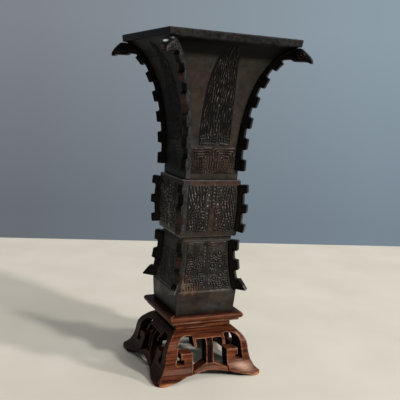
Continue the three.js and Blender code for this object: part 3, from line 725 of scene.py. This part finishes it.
def add_neck():
    foot, full = BELLY_TOP + GAP, UPPER_BAND_HALF + 0.15
    band = rounded([(UPPER_BAND_HALF, foot, 0), (full, BELLY_TOP + 1.2, 0),
                    (full, NECK_BASE - 0.6, 1), (NECK_HALF, NECK_BASE, 0)], 0.3)
    fine_top = LEAF_START + NECK_FINE_TOP
    sides = np.concatenate([flare_rows(NECK_BASE + 0.4, fine_top, NECK_FINE_STEP),
                            flare_rows(fine_top, LIP_BASE - 0.01, NECK_STEP)[1:]])
    lip = rounded([(*sides[-1], 0), (LIP_HALF, LIP_BASE, 1), (RIM_HALF, MOUTH_TOP, 1.4),
                   (RIM_HALF - RIM_WIDTH, MOUTH_TOP, 0)], EDGE_RADIUS)[1:]
    inside = flare_rows(NECK_BASE, LIP_BASE - 1.2, NECK_INSIDE_STEP)[::-1]
    inside = inside + (-CAST_WALL, CAST_WALL)
    inner = np.concatenate([inside, [(UPPER_BAND_HALF - CAST_WALL, foot)]])
    inner = np.concatenate([[(RIM_HALF - RIM_WIDTH - 0.3, MOUTH_TOP - 0.3)],
                            inner[inner[:, 1] < MOUTH_TOP - 1]])
    outer = np.concatenate([filled(band, NECK_FINE_STEP), sides, lip])
    piece = casting("cast_neck", outer, inner, NECK_COLUMNS, neck_relief, neck_spread)
    dress(piece, "vase", "bronze", "neck_casting")


def belly_half(z):
    up = (z - BELLY_BASE) / (BELLY_TOP - BELLY_BASE)
    return BELLY_LOW_HALF + BELLY_WIDENS * up + BELLY_SWELL * 4 * up * (1 - up)


def belly_lines(s, half, z, seed):
    """A mask panel: a ladder over a bar, long strokes and small curls beside it, and bosses."""
    x, v = wobble(s, z - BELLY_MIDDLE, seed)
    broken = 0.6 + 0.6 * flecks(x, v, 1.2, 1.7, seed + 7)
    strokes = maze(x, v / 1.2, 2.1, 0.88, seed + 2)
    lines = np.where(v > -2.5, strokes, maze(x, v, BELLY_PITCH, 0.5, seed + 3)) * broken
    lines = np.where(x > 8.0, maze(x, v, BELLY_PITCH, 0.65, seed + 4) * broken, lines)
    middle = 0.1 + 0.75 * maze(x, v, BELLY_PITCH, 0.55, seed + 5) * broken
    lines = np.where(within(x, -4.6, 7.6), middle, lines)
    ladder = line(x, 1.3, 0.9) * ridge(v / 2.5)
    bar = 0.6 * line(x, 0.3, 1.9)
    lines = np.where(within(x, -0.6, 3.2) & (v > -0.8), ladder, lines)
    lines = np.where(within(x, -2.4, 3.0) & (v <= -0.8), bar, lines)
    for across, up, size in BELLY_BOSSES:
        far = np.hypot(x - across, v - up)
        # The bosses' tone runs past the lines into the painted glint
        boss = 2.3 * (1 - eased(far, 0.4 * size, 0.9 * size)) + 0.6 * line(far, 1.5 * size, 0.3)
        lines = np.where(far < 1.8 * size, boss, lines)
    edge = half - BELLY_MARGIN
    lines = lines * eased(edge - np.abs(s), *FIELD_RUB)
    return np.where(within(v, *BELLY_FIELD) & (np.abs(s) < edge), lines, np.nan)


def belly_relief(s, half, z, turn):
    """Height, tone, rust and bloom of one side of the belly, with a painted highlight along its top
    edge and a painted reflection along its sill.
    """
    seed = BELLY_SEED + SIDE_SEEDS * turn
    height, tone = worn(belly_lines(s, half, z, seed), s, z, seed + 20, BELLY_GROUND)
    # Painted highlight along the top edge and painted reflection along the sill, in both tone and
    # grey bloom
    rim = eased(z, BELLY_TOP - 0.8, BELLY_TOP - 0.4)
    sill = 1 - eased(z, BELLY_BASE + 0.7, BELLY_BASE + 1.3)
    patchy = cloud(s, z, 4.0, seed)
    tone = np.maximum(tone, (0.75 + 0.4 * patchy) * rim)
    tone = np.maximum(tone, (0.65 + 0.35 * patchy) * sill)
    # Painted light and shade on the left side: its lines are toned brighter and its ground darker
    if turn == LEFT:
        tone = PLAIN + BELLY_LEFT_PAINTED_CONTRAST * (tone - PLAIN)
    band = eased(z, BELLY_TOP - 4.4, BELLY_TOP - 3.6)
    band = band * (0.2 + 0.4 * cloud(s + 30, z, 9.0, seed + 8))
    rust = np.maximum(band, blotch(s, z, BELLY_RUST))
    bloom = blotch(s, z, BELLY_BLOOM)
    bloom = np.maximum(bloom, (1.2 + 0.6 * cloud(s, z, 3.0, seed + 9)) * rim)
    sill = sill * (SILL_LEFT_PAINTED_REFLECTION if turn == LEFT else SILL_PAINTED_REFLECTION)
    return height, tone, rust, np.maximum(bloom, sill)


def add_belly():
    z = np.linspace(BELLY_BASE + 0.5, BELLY_TOP - 0.5, BELLY_ROWS)
    sides = np.stack([belly_half(z), z], 1)
    floor_half, mouth_half = LOWER_BAND_HALF - CAST_WALL, UPPER_BAND_HALF - CAST_WALL + 0.3
    low = rounded([(floor_half, BELLY_BASE, 0), (belly_half(BELLY_BASE), BELLY_BASE, 1),
                   (*sides[0], 0)], EDGE_RADIUS)
    high = rounded([(*sides[-1], 0), (belly_half(BELLY_TOP), BELLY_TOP, 1),
                    (mouth_half, BELLY_TOP, 0)], EDGE_RADIUS)
    z = np.linspace(BELLY_TOP - BELLY_SHELL, BELLY_BASE + BELLY_SHELL, 8)
    inner = np.stack([belly_half(z) - CAST_WALL, z], 1)
    inner = np.concatenate([[(mouth_half, BELLY_TOP - BELLY_SHELL)], inner,
                            [(floor_half, BELLY_BASE + BELLY_SHELL)]])
    outer = np.concatenate([low[:-1], sides, high[1:]])
    piece = casting("cast_belly", outer, inner, PANEL_COLUMNS, belly_relief)
    dress(piece, "vase", "bronze", "belly_casting")


def tier_half(z):
    down = np.clip((LOWER_BAND - z) / (LOWER_BAND - TIER_BASE), 0, 1)
    return TIER_TOP_HALF + TIER_SPREAD * down ** 2


def tier_lines(s, half, z, seed):
    """A mask panel: a groove between beads, combs on one side, level lines and rings opposite."""
    edge = half - TIER_MARGIN
    x, v = wobble(s * TIER_HALF / edge, z - TIER_MIDDLE, seed)
    broken = 0.6 + 0.5 * flecks(x, v, 1.3, 1.3, seed + 8)
    lines = 0.85 * maze(x, v, 1.65, 0.5, seed + 2) * broken
    combs = maze(x, v, 1.6, 0.45, seed + 3) * broken
    lines = np.where((x < -2.8) & within(v, -4.5, 7.0), combs, lines)
    level = 0.85 * maze(x, v + 0.16 * x, 1.7, 0.1, seed + 6) * broken
    lines = np.where((x > 2.8) & (v > 3.0), level, lines)
    lines = np.where(v > 9.0, 0.3 + 0.4 * lines, lines)
    for across, up, size, strength in TIER_RINGS:
        far = np.hypot(x - across, v - up)
        pupil = 1.3 * (1 - eased(far, 0.3 * size, 0.7 * size))
        ring = strength * (pupil + line(far, 1.3 * size, 0.35))
        lines = np.where(far < 1.6 * size, ring, lines)
    beads = 0.3 + 0.6 * ridge(v / 2.6) * flecks(x, v, 2.0, 2.6, seed + 7)
    beads = line(np.abs(x), 1.7, 0.7) * beads
    lines = np.where(np.abs(x) < 2.6, beads + 0.28 * line(x, 0.0, 0.8), lines)
    lines = lines * eased(edge - np.abs(s), *FIELD_RUB)
    return np.where((np.abs(v) < TIER_FIELD) & (np.abs(s) < edge), lines, np.nan)


def tier_relief(s, half, z, turn):
    """Height, tone, rust and bloom of one side of the foot and its plain band."""
    seed = FOOT_SEED + SIDE_SEEDS * turn
    height, tone = worn(tier_lines(s, half, z, seed), s, z, seed + 20, TIER_GROUND)
    seam = 0.45 * np.exp(-((z - TIER_BASE - 0.8) / 0.7) ** 2) * flecks(s, z, 1.6, 1.4, seed + 9)
    gold = 0.35 * blotch(s, z, FOOT_GOLD) * flecks(s, z, 1.1, 1.1, seed + 11)
    tone = tone + seam + gold
    tone = tone - 0.12 * blotch(s, z, FOOT_DARK) + 0.2 * blotch(s, z, FOOT_LIGHT)
    band = 1 - eased(z, TIER_BASE - 1.0, TIER_BASE)
    rust = np.maximum(blotch(s, z, FOOT_RUST), 0.12 + 0.1 * band * eased(s, -8.0, 10.0))
    bloom = blotch(s, z, FOOT_BLOOM)
    if turn == LEFT:
        bloom = np.maximum(bloom, blotch(s, z, FOOT_LEFT_BLOOM))
    return height, tone, np.maximum(rust, seam), bloom


def add_foot():
    z = np.linspace(TIER_BASE + 0.7, LOWER_BAND - 0.4, TIER_ROWS)
    sides = np.stack([tier_half(z), z], 1)
    top, top_half = BELLY_BASE - GAP, LOWER_BAND_HALF - CAST_WALL
    low = rounded([(FOOT_HALF - CAST_WALL, FOOT_BASE, 0), (FOOT_HALF, FOOT_BASE, 1),
                   (BAND_HALF, TIER_BASE, 1.2), (tier_half(TIER_BASE) + 0.05, TIER_BASE + 0.4, 0),
                   (*sides[0], 0)], EDGE_RADIUS)
    high = rounded([(*sides[-1], 0), (LOWER_BAND_HALF, LOWER_BAND, 0.6),
                    (LOWER_BAND_HALF, top, 0.6), (top_half, top, 0)], EDGE_RADIUS)
    inner = np.array([(top_half, LOWER_BAND), FOOT_INSIDE, (TIER_INSIDE_HALF, TIER_BASE)])
    outer = np.concatenate([low[:-1], sides, high[1:]])
    piece = casting("cast_foot", outer, inner, PANEL_COLUMNS, tier_relief)
    dress(piece, "vase", "bronze", "foot_casting")


# Pieces carved from their solids

WELD = 1e-6

# Flanges: name, share of grey bloom and painted sheen on the one nearest the camera, and painted
# shade of the other three
FLANGES = (("neck_flange", 1.0, 0.6), ("belly_flange", 1.1, 1.15), ("foot_flange", 0.7, 1.15))
FLANGE_VOXEL = 0.32
FLANGE_ROUNDS = 20
FLANGE_ROOT = 0.5
FLANGE_CORE = 0.8
FLANGE_CUT = 1.35
FLANGE_SIDE = (1.5, 2.0)
FLANGE_RUST_SEED = 51
FLANGE_GREY_SEED = 53
FLANGE_RUB_SEED = 55
OTHER_FLANGE_RUST = 0.15
HOOK_TIP = (2.0, 6.0)

# Spots of the beak: out along the corner's diagonal, up, across, and where each starts and ends
# to fade
HEAD_OUT = 68.0
HEAD_UP = 229.6
HEAD_EYE = 2.2
# The brow and the crest are painted highlights on the beak; the cheek is rust
BROW_PAINTED_GLINT = (72.0, 231.5, -0.4, 0.8, 2.2)
CHEEK = (75.0, 227.0, -2.0, 1.2, 2.8)
CREST_PAINTED_HIGHLIGHT = (69.6, 233.6, 2.0, 0.6, 1.9)

# Half of the stand board's piercing, from the post out, and the arch below it
FRET_SHIFT = 1.6
FRET = ((2.8, 11.5), (13.3, 6.9), (13.3, 19.2), (22.4, 19.2), (22.4, 14.7), (20.3, 14.7),
        (20.3, 11.4), (26.0, 11.4), (24.5, 21.7), (23.6, 26.0), (21.0, 28.8), (16.5, 29.7),
        (12.5, 29.7), (12.5, 22.8), (10.1, 22.8), (10.1, 27.6), (2.8, 27.6))
ARCH = ((0.0, 6.5), (8.0, 5.7), (16.0, 4.2), (24.0, 2.4), (34.0, 0.0))
BEAD = 1.6
POST_EDGE = (2.0, 2.5)
POST_HEIGHTS = (11.0, 28.0)
BOARD_JOINT = 13.6
JOINT_WIDTH = 0.45
JOINT_HEIGHTS = (3.5, 8.0)
TOE_HEIGHTS = (1.6, 3.2)
TOE_OUT = (24.0, 34.0)
TOE_SEED = 71
RAIL_SEED = 73
DUST_AND_SHEEN_SEED = 75
OTHER_BOARD_RUST = 0.4
BOARD_RUBBED = ((17.5, 15.0, 4.0, 5.0, 0.3), (-17.0, 15.0, 4.0, 4.0, 0.3))
BOARD_SHEEN = ((24.5, 27.0, 2.5, 2.5, 0.5),)
PLATE_VOXEL = 0.6
PLATE_ROUNDS = 2
STAND_ROUNDS = 3


def remeshed(node, voxel):
    """A node's solid as an even, closed mesh, in millimetres."""
    solid = bmesh.new()
    solid.from_mesh(NODES[node].data)
    bmesh.ops.remove_doubles(solid, verts=solid.verts, dist=WELD)
    bmesh.ops.scale(solid, vec=(1 / MM,) * 3, verts=solid.verts)
    mesh = bpy.data.meshes.new("work")
    solid.to_mesh(mesh)
    solid.free()
    work = linked("work", mesh)
    remesh = work.modifiers.new("even", "REMESH")
    remesh.mode = "VOXEL"
    remesh.voxel_size = voxel
    remesh.use_smooth_shade = True
    bpy.context.view_layer.update()
    even = work.evaluated_get(bpy.context.evaluated_depsgraph_get())
    made = bpy.data.meshes.new_from_object(even)
    bpy.data.objects.remove(work)
    bpy.data.meshes.remove(mesh)
    return made


def carved(node, voxel, rounds, material, carve=None):
    """A node's solid with its edges rounded and lines carved into it."""
    mesh = remeshed(node, voxel)
    pairs = edges_of(mesh)
    points = relaxed(points_of(mesh), pairs, rounds)
    put(mesh, points)
    tones = [np.full(len(points), value) for value in (PLAIN, 0.0, 0.0)]
    if carve is not None:
        height, *tones = carve(points, normals_of(mesh))
        points = points + normals_of(mesh) * height[:, None]
        put(mesh, points)
    wear = edge_wear(points, normals_of(mesh), pairs, CARVED_WEAR)
    put(mesh, points * MM)
    store(mesh, dict(zip(TONES, (*tones, np.ones(len(points))))))
    store(mesh, {"wear": wear})
    mesh.materials.clear()
    mesh.materials.append(material)
    return mesh


def variant(mesh, **shares):
    """A copy of a mesh with some of its tones multiplied by a share."""
    copy = mesh.copy()
    values = np.zeros(len(copy.vertices), np.float32)
    for name, share in shares.items():
        copy.attributes[name].data.foreach_get("value", values)
        copy.attributes[name].data.foreach_set("value", values * share)
    return copy


def add_piece(node, mesh, body, slot, turn=0):
    piece = linked(f"carved_{node}", mesh)
    piece.matrix_world = Matrix.Rotation(turn * QUARTER, 4, "Z")
    dress(piece, body, slot, node)


def add_ring(stem, places, meshes, body, slot):
    """One piece on each side or corner, going round from the front."""
    for turn, (place, mesh) in enumerate(zip(places, meshes)):
        add_piece(f"{stem}_{place}", mesh, body, slot, turn)


def vase_half(z):
    """Half width of the castings that the flanges sit on."""
    lower = np.where(z < LOWER_BAND, tier_half(z), belly_half(np.clip(z, BELLY_BASE, BELLY_TOP)))
    return np.where(z < NECK_BASE - 1, lower, flare(np.minimum(z, LIP_BASE - 0.1)))


def depth_inside(outline, out, z):
    """How far each point lies from the outline, seen from the flange's side."""
    tree = KDTree(int(outline.sum()))
    for i, place in enumerate(zip(out[outline], z[outline])):
        tree.insert((*place, 0), i)
    tree.balance()
    return np.array([tree.find((*place, 0))[2] for place in zip(out, z)])


def spot(out, z, across, place):
    """1 on a spot of the beak, fading to 0 round it."""
    spot_out, spot_up, spot_across, full, end = place
    far = np.hypot(np.hypot(out - spot_out, z - spot_up), across - spot_across)
    return 1 - eased(far, full, end)


def carve_flange(points, normals):
    """Roots the flange in its corner, cuts a line inside its outline and makes the beak a head,
    with painted highlights on the tips, brow and crest and a painted grey sheen on the sides.
    """
    x, y, z = points.T
    across = (x - y) / DIAGONAL
    out = -(x + y) / DIAGONAL
    proud = np.maximum(-x, -y) - vase_half(z)
    root = proud < FLANGE_ROOT
    depth = depth_inside((np.abs(across) < FLANGE_CORE) & ~root, out, z)
    head = np.hypot(out - HEAD_OUT, z - HEAD_UP)
    on_side = eased(np.abs(across), *FLANGE_SIDE)
    cut = on_side * np.exp(-((depth - FLANGE_CUT) / 0.3) ** 2) * eased(head, 3.4, 4.4)
    ring = on_side * line(head, HEAD_EYE, 0.5)
    pupil = on_side * (1 - eased(head, 0.5, 1.1))
    socket = on_side * (1 - eased(head, HEAD_EYE, 2.6)) * (1 - ring) * (1 - pupil)
    # Painted glint on the brow, on faces turned upwards
    brow = spot(out, z, across, BROW_PAINTED_GLINT) * (1 - on_side) * eased(normals[:, 2], 0.1, 0.4)
    far = np.argmax(out)
    hooked = (z < LOWER_BAND) | (z > NECK_BASE)
    tip = hooked * (1 - eased(np.hypot(out - out[far], z - z[far]), *HOOK_TIP))
    # Painted highlight on the tips of the hooks and beaks, where they face up and out
    upper = eased(normals[:, 2] - (normals[:, 0] + normals[:, 1]) / DIAGONAL, 0.7, 1.1)
    broken = 0.3 + 0.7 * flecks(across, z, 1.1, 1.1, FLANGE_RUB_SEED)
    rubbed_and_highlighted = tip * upper * np.where(z > NECK_BASE, broken, 0.9)
    tone = PLAIN - 0.3 * cut - 0.35 * socket + 0.8 * rubbed_and_highlighted
    rust = eased(cloud(z + 7, across, 6.0, FLANGE_RUST_SEED), 0.4, 0.75)
    rust = (1 - on_side) * rust * 0.5 * ~root * (1 - brow)
    cheek = spot(out, z, across, CHEEK)
    rust = np.maximum(rust, 0.6 * cheek)
    # Painted sheen: grey on the flange's sides and eye, which only the copy nearest the camera
    # keeps
    grey = on_side * (0.5 + 0.5 * flecks(z, out, 2.0, 2.0, FLANGE_GREY_SEED))
    grey = grey * (0.3 + 0.7 * eased(head, 4.0, 8.0)) * (1 - cheek)
    eye = np.maximum(ring, pupil)
    bloom = grey + 0.5 * eye + 3.5 * brow + 2.4 * spot(out, z, across, CREST_PAINTED_HIGHLIGHT)
    sink = 0.7 * (1 - eased(proud, 0.3, 0.6))
    swell = across * 0.95 * np.exp(-(head / 5.0) ** 2)
    points[:, 0] += (sink + swell) / DIAGONAL
    points[:, 1] += (sink - swell) / DIAGONAL
    return -0.35 * cut - 0.25 * socket + 0.35 * eye, tone, rust, bloom


def distance_to(line_points, x, z, closed):
    ends = list(zip(line_points, line_points[1:] + (line_points[:1] if closed else ())))
    nearest = np.full(x.shape, np.inf)
    for (x0, z0), (x1, z1) in ends:
        dx, dz = x1 - x0, z1 - z0
        t = np.clip(((x - x0) * dx + (z - z0) * dz) / (dx * dx + dz * dz), 0, 1)
        nearest = np.minimum(nearest, np.hypot(x - x0 - t * dx, z - z0 - t * dz))
    return nearest


def carve_board(points, normals):
    """Beads the piercing and the arch, cuts the post back, rubs the feet, darkens the inside, the
    piercing's walls and the post as painted shade, and paints a highlight on the right foot.
    """
    x, z = points[:, 0], points[:, 2]
    u = np.abs(x - FRET_SHIFT)
    depth = np.minimum(distance_to(FRET, u, z, True), distance_to(ARCH, np.abs(x), z, False))
    outside = eased(-normals[:, 1] + 0.6 * normals[:, 2], 0.2, 0.5)
    inside = eased(normals[:, 1] - 0.6 * normals[:, 2], -0.1, 0.3)
    wall = (1 - outside) * (1 - inside)
    bead = np.where(depth < BEAD, np.sin(np.pi * np.clip(depth / BEAD, 0, 1)), 0)
    post = (1 - eased(u, *POST_EDGE)) * within(z, *POST_HEIGHTS)
    joint = np.exp(-((u - BOARD_JOINT) / JOINT_WIDTH) ** 2) * within(z, *JOINT_HEIGHTS)
    cut = np.maximum(post, joint)
    # Painted shade on the inner face, on the piercing's walls and in the post; the joint lines are
    # dark
    tone = PLAIN + outside * (0.1 * bead - 0.4 * cut) - 0.38 * inside - 0.4 * wall
    toe = 1 - eased(z + 1.2 * cloud(x + 60, z, 3.0, TOE_SEED), *TOE_HEIGHTS)
    rubbed_and_highlighted = np.maximum(toe * eased(np.abs(x), *TOE_OUT), blotch(x, z, BOARD_RUBBED))
    # Painted highlight on the right foot and painted sheen on the arch's shoulder, kept only on the
    # front board
    gleam = 0.95 * np.exp(-((x - 25.5 - 1.1 * (8.0 - z)) / 5.5) ** 2 - ((z - 6.4) / 3.0) ** 2)
    sheen = np.maximum(gleam, blotch(x, z, BOARD_SHEEN))
    height = outside * (0.12 * bead - 0.7 * cut)
    return height, np.clip(tone, 0, 1), outside * rubbed_and_highlighted, outside * sheen


def carve_rail(points, normals):
    """Leaves the rail's shape as it is, with a top darkened as painted shade and a rubbed front
    that is partly a painted highlight.
    """
    x, z = points[:, 0], points[:, 2]
    front = 0.3 * eased(-normals[:, 1] - 0.3 * normals[:, 2], 0.3, 0.9)
    front = front * cloud(x, z, 7.0, RAIL_SEED)
    # The top is darkened as painted shade
    return 0 * z, PLAIN - 0.3 * eased(normals[:, 2], 0.75, 0.95), front, 0 * z


def carve_waist(points, normals):
    """Leaves the waist's shape as it is, with pale dusty patches on its front that are partly a
    painted sheen.
    """
    x, z = points[:, 0], points[:, 2]
    dust_and_sheen = eased(cloud(x / 6 + 40, z, 1.6, DUST_AND_SHEEN_SEED), 0.4, 0.9)
    dust_and_sheen = 0.28 * eased(-normals[:, 1], 0.3, 0.8) * dust_and_sheen
    return 0 * z, PLAIN + 0 * z, 0 * z, dust_and_sheen


# Stand: name, voxel, carving, and painted shade of the left one
STAND_RINGS = (("stand_rail", 0.35, carve_rail, 0.8), ("stand_waist", 0.3, carve_waist, 0.8),
               ("stand_apron", 0.36, carve_board, 0.28))

# Materials: tint and metal share of the bronzes, and colours, most of them along a ramp
CAST_FINISH = ((1.0, 1.0, 1.0), 0.25)
FLANGE_FINISH = ((0.35, 0.34, 0.36), 0.85)
PATINA = ((0.34, (0.0145, 0.014, 0.0135)), (0.47, (0.023, 0.019, 0.0155)),
          (0.58, (0.021, 0.02, 0.0165)), (0.7, (0.028, 0.02, 0.015)))
RUST = ((0.2, (0.03, 0.0205, 0.0145)), (0.6, (0.044, 0.0155, 0.0105)), (1.0, (0.09, 0.06, 0.034)))
# Grey bloom; its palest end is for the painted glints and sheen
BLOOM_AND_SHEEN = ((0.2, (0.025, 0.0255, 0.0285)), (0.5, (0.06, 0.06, 0.065)), (0.9, (0.6, 0.59, 0.57)))
BRONZE_HOLLOW_AND_SHADE = (0.0035, 0.003, 0.003)
BRONZE_RUBBED = (0.066, 0.055, 0.048)
BRONZE_GLINT = (0.2, 0.185, 0.175)
BRONZE_EDGE = (0.055, 0.038, 0.03)
BRONZE_SHIFT = 90.0
WOOD_SHIFT = 40.0
PATCH_SHIFT = 60.0
WOOD_ALONG = (0.05, 1.0, 1.0)
WOOD = ((0.34, (0.02, 0.0045, 0.0028)), (0.5, (0.068, 0.0165, 0.007)),
        (0.66, (0.135, 0.04, 0.0145)))
WOOD_WORN = ((0.3, (0.18, 0.06, 0.024)), (1.0, (0.42, 0.17, 0.06)))
WOOD_SHEEN = ((0.35, (0.36, 0.2, 0.14)), (0.65, (0.52, 0.33, 0.25)))
WOOD_SHADE_AND_JOINT = (0.007, 0.003, 0.003)
WOOD_EDGE = (0.38, 0.18, 0.1)
WOOD_HOLLOW = (0.01, 0.004, 0.003)
WOOD_SHINE_TINT = (1.0, 0.72, 0.58)


def bronze(name, tint, metal):
    """Dark bronze: mottled brown, rust and grey bloom, nearly black hollows, rubbed ridges, with
    painted shade by side and painted shadow, glints and sheen.
    """
    material, g = new_material(name)
    where = g.place(spread=BRONZE_SHIFT)
    mottle = g.noise(where, 0.05, 3.0, distort=0.7)
    patch = g.noise(where, 0.2, 4.0)
    grain = g.noise(where, 1.3, 3.0)
    relief, rust, bloom, side = (g.attribute(tone) for tone in TONES)
    colour = g.mix(1.0, g.ramp(mottle, PATINA), tint, "MULTIPLY")
    colour = g.mix(g.level(rust, 0.0, 0.5), colour, g.ramp(rust, RUST))
    grey = g.ramp(g.times(bloom, 0.25), BLOOM_AND_SHEEN)
    colour = g.mix(g.times(bloom, 0.85, clamp=True), colour, grey)
    shade = g.times(g.level(patch, 0.3, 0.7, 0.65, 1.3), g.level(grain, 0.3, 0.7, 0.72, 1.3))
    # The side's painted shade darkens the bronze
    colour = g.shaded(colour, g.times(shade, side))
    # Nearly black in the hollows and where the tone holds painted shadow and shade
    colour = g.mix(g.level(relief, 0.48, 0.1), colour, BRONZE_HOLLOW_AND_SHADE)
    rubbed_and_highlighted = g.times(g.level(relief, 0.55, 0.95), g.level(grain, 0.3, 0.6))
    colour = g.mix(g.times(rubbed_and_highlighted, 0.8), colour, BRONZE_RUBBED)
    # Painted glint where the tone runs highest
    glint = g.times(g.level(relief, 0.95, 1.25), g.level(grain, 0.35, 0.55))
    colour = g.mix(glint, colour, BRONZE_GLINT)
    # Rubbed edges, partly a painted highlight
    edge = g.times(g.level(g.attribute("wear"), 0.56, 0.85), g.level(grain, 0.35, 0.6))
    colour = g.mix(g.times(edge, 0.5), colour, BRONZE_EDGE)
    rough = g.level(g.math("ADD", patch, g.times(grain, 0.4)), 0.4, 1.0, 0.3, 0.5)
    metallic = g.level(g.math("MAXIMUM", rust, bloom), 0.0, 0.5, metal, 0.0)
    # Painted shade: the reflection is dimmed in the hollows
    shine = g.level(relief, 0.1, 0.5, 0.055, 0.12)
    g.surface(Base_Color=colour, Metallic=metallic, Roughness=rough,
              Normal=g.bump(grain, 0.4, 0.12), Specular_IOR_Level=shine)
    return material


def rosewood():
    """Waxed red-brown wood: fine dark streaks along it, lighter where edges and feet are rubbed,
    with painted highlights and sheen, and painted shade inside and on the left side.
    """
    material, g = new_material("rosewood")
    where = g.place(scale=WOOD_ALONG, spread=WOOD_SHIFT)
    streak = g.noise(where, 0.9, 4.0, 0.6, 0.5)
    fine = g.noise(where, 3.4, 2.0, 0.5)
    patches = g.place(spread=PATCH_SHIFT)
    broad = g.noise(patches, 0.05, 2.0)
    chips = g.noise(patches, 0.22, 3.0)
    relief, rust, bloom, side = (g.attribute(tone) for tone in TONES)
    wear = g.attribute("wear")
    shade = g.times(g.level(fine, 0.35, 0.6, 0.76, 1.1), g.level(broad, 0.3, 0.7, 0.72, 1.25))
    # The side's painted shade darkens the wood
    colour = g.shaded(g.ramp(streak, WOOD), g.times(shade, side))
    colour = g.mix(rust, colour, g.ramp(rust, WOOD_WORN))
    colour = g.mix(bloom, colour, g.ramp(fine, WOOD_SHEEN))
    # Dark joint lines and painted shade: inside the stand, on the walls, in the post and on the
    # rail's top
    colour = g.mix(g.level(relief, 0.45, 0.1), colour, WOOD_SHADE_AND_JOINT)
    # Rubbed edges, partly a painted highlight, darkened by the side's painted shade
    edge = g.times(g.level(wear, 0.55, 0.85, 0.0, 0.8), g.level(chips, 0.42, 0.62, 0.12, 1.0))
    colour = g.mix(g.times(edge, side), colour, WOOD_EDGE)
    colour = g.mix(g.level(wear, 0.45, 0.15, 0.0, 0.7), colour, WOOD_HOLLOW)
    rough = g.level(fine, 0.3, 0.7, 0.3, 0.42)
    # Painted shade: the reflection is dimmed in the hollows
    shine = g.level(relief, 0.1, 0.4, 0.015, 0.09)
    g.surface(Base_Color=colour, Roughness=rough, Normal=g.bump(fine, 0.15, 0.08),
              Specular_IOR_Level=shine, Specular_Tint=WOOD_SHINE_TINT)
    return material


bpy.context.scene.view_settings.view_transform = "Standard"
add_camera()
add_floor()
add_world()
for window in WINDOWS:
    add_window(*window)

BRONZE = bronze("bronze", *CAST_FINISH)
FLANGE_BRONZE = bronze("flange_bronze", *FLANGE_FINISH)
ROSEWOOD = rosewood()

add_neck()
add_belly()
add_foot()
for stem, grey, dark in FLANGES:
    node = f"{stem}_front_left"
    flange = carved(node, FLANGE_VOXEL, FLANGE_ROUNDS, FLANGE_BRONZE, carve_flange)
    # The other three flanges lose the painted sheen and take a painted shade, darker on the neck
    # and lighter on the belly and foot
    others = variant(flange, rust=OTHER_FLANGE_RUST, bloom=0.0, shade=dark)
    near = variant(flange, bloom=grey)
    add_ring(stem, CORNERS, (near, others, others, others), "vase", "flange_bronze")
plate = carved("floor_plate", PLATE_VOXEL, PLATE_ROUNDS, BRONZE)
add_piece("floor_plate", plate, "vase", "bronze")
panel = carved("stand_panel", PLATE_VOXEL, PLATE_ROUNDS, ROSEWOOD)
add_piece("stand_panel", panel, "stand", "rosewood")
for stem, voxel, carve, left in STAND_RINGS:
    front = carved(f"{stem}_front", voxel, STAND_ROUNDS, ROSEWOOD, carve)
    others = variant(front, rust=OTHER_BOARD_RUST, bloom=0.0)
    # The left copy takes a painted shade and loses the rubbing and the painted sheen
    shady = variant(front, rust=0.0, bloom=0.0, shade=left)
    add_ring(stem, FACES, (front, others, others, shady), "stand", "rosewood")
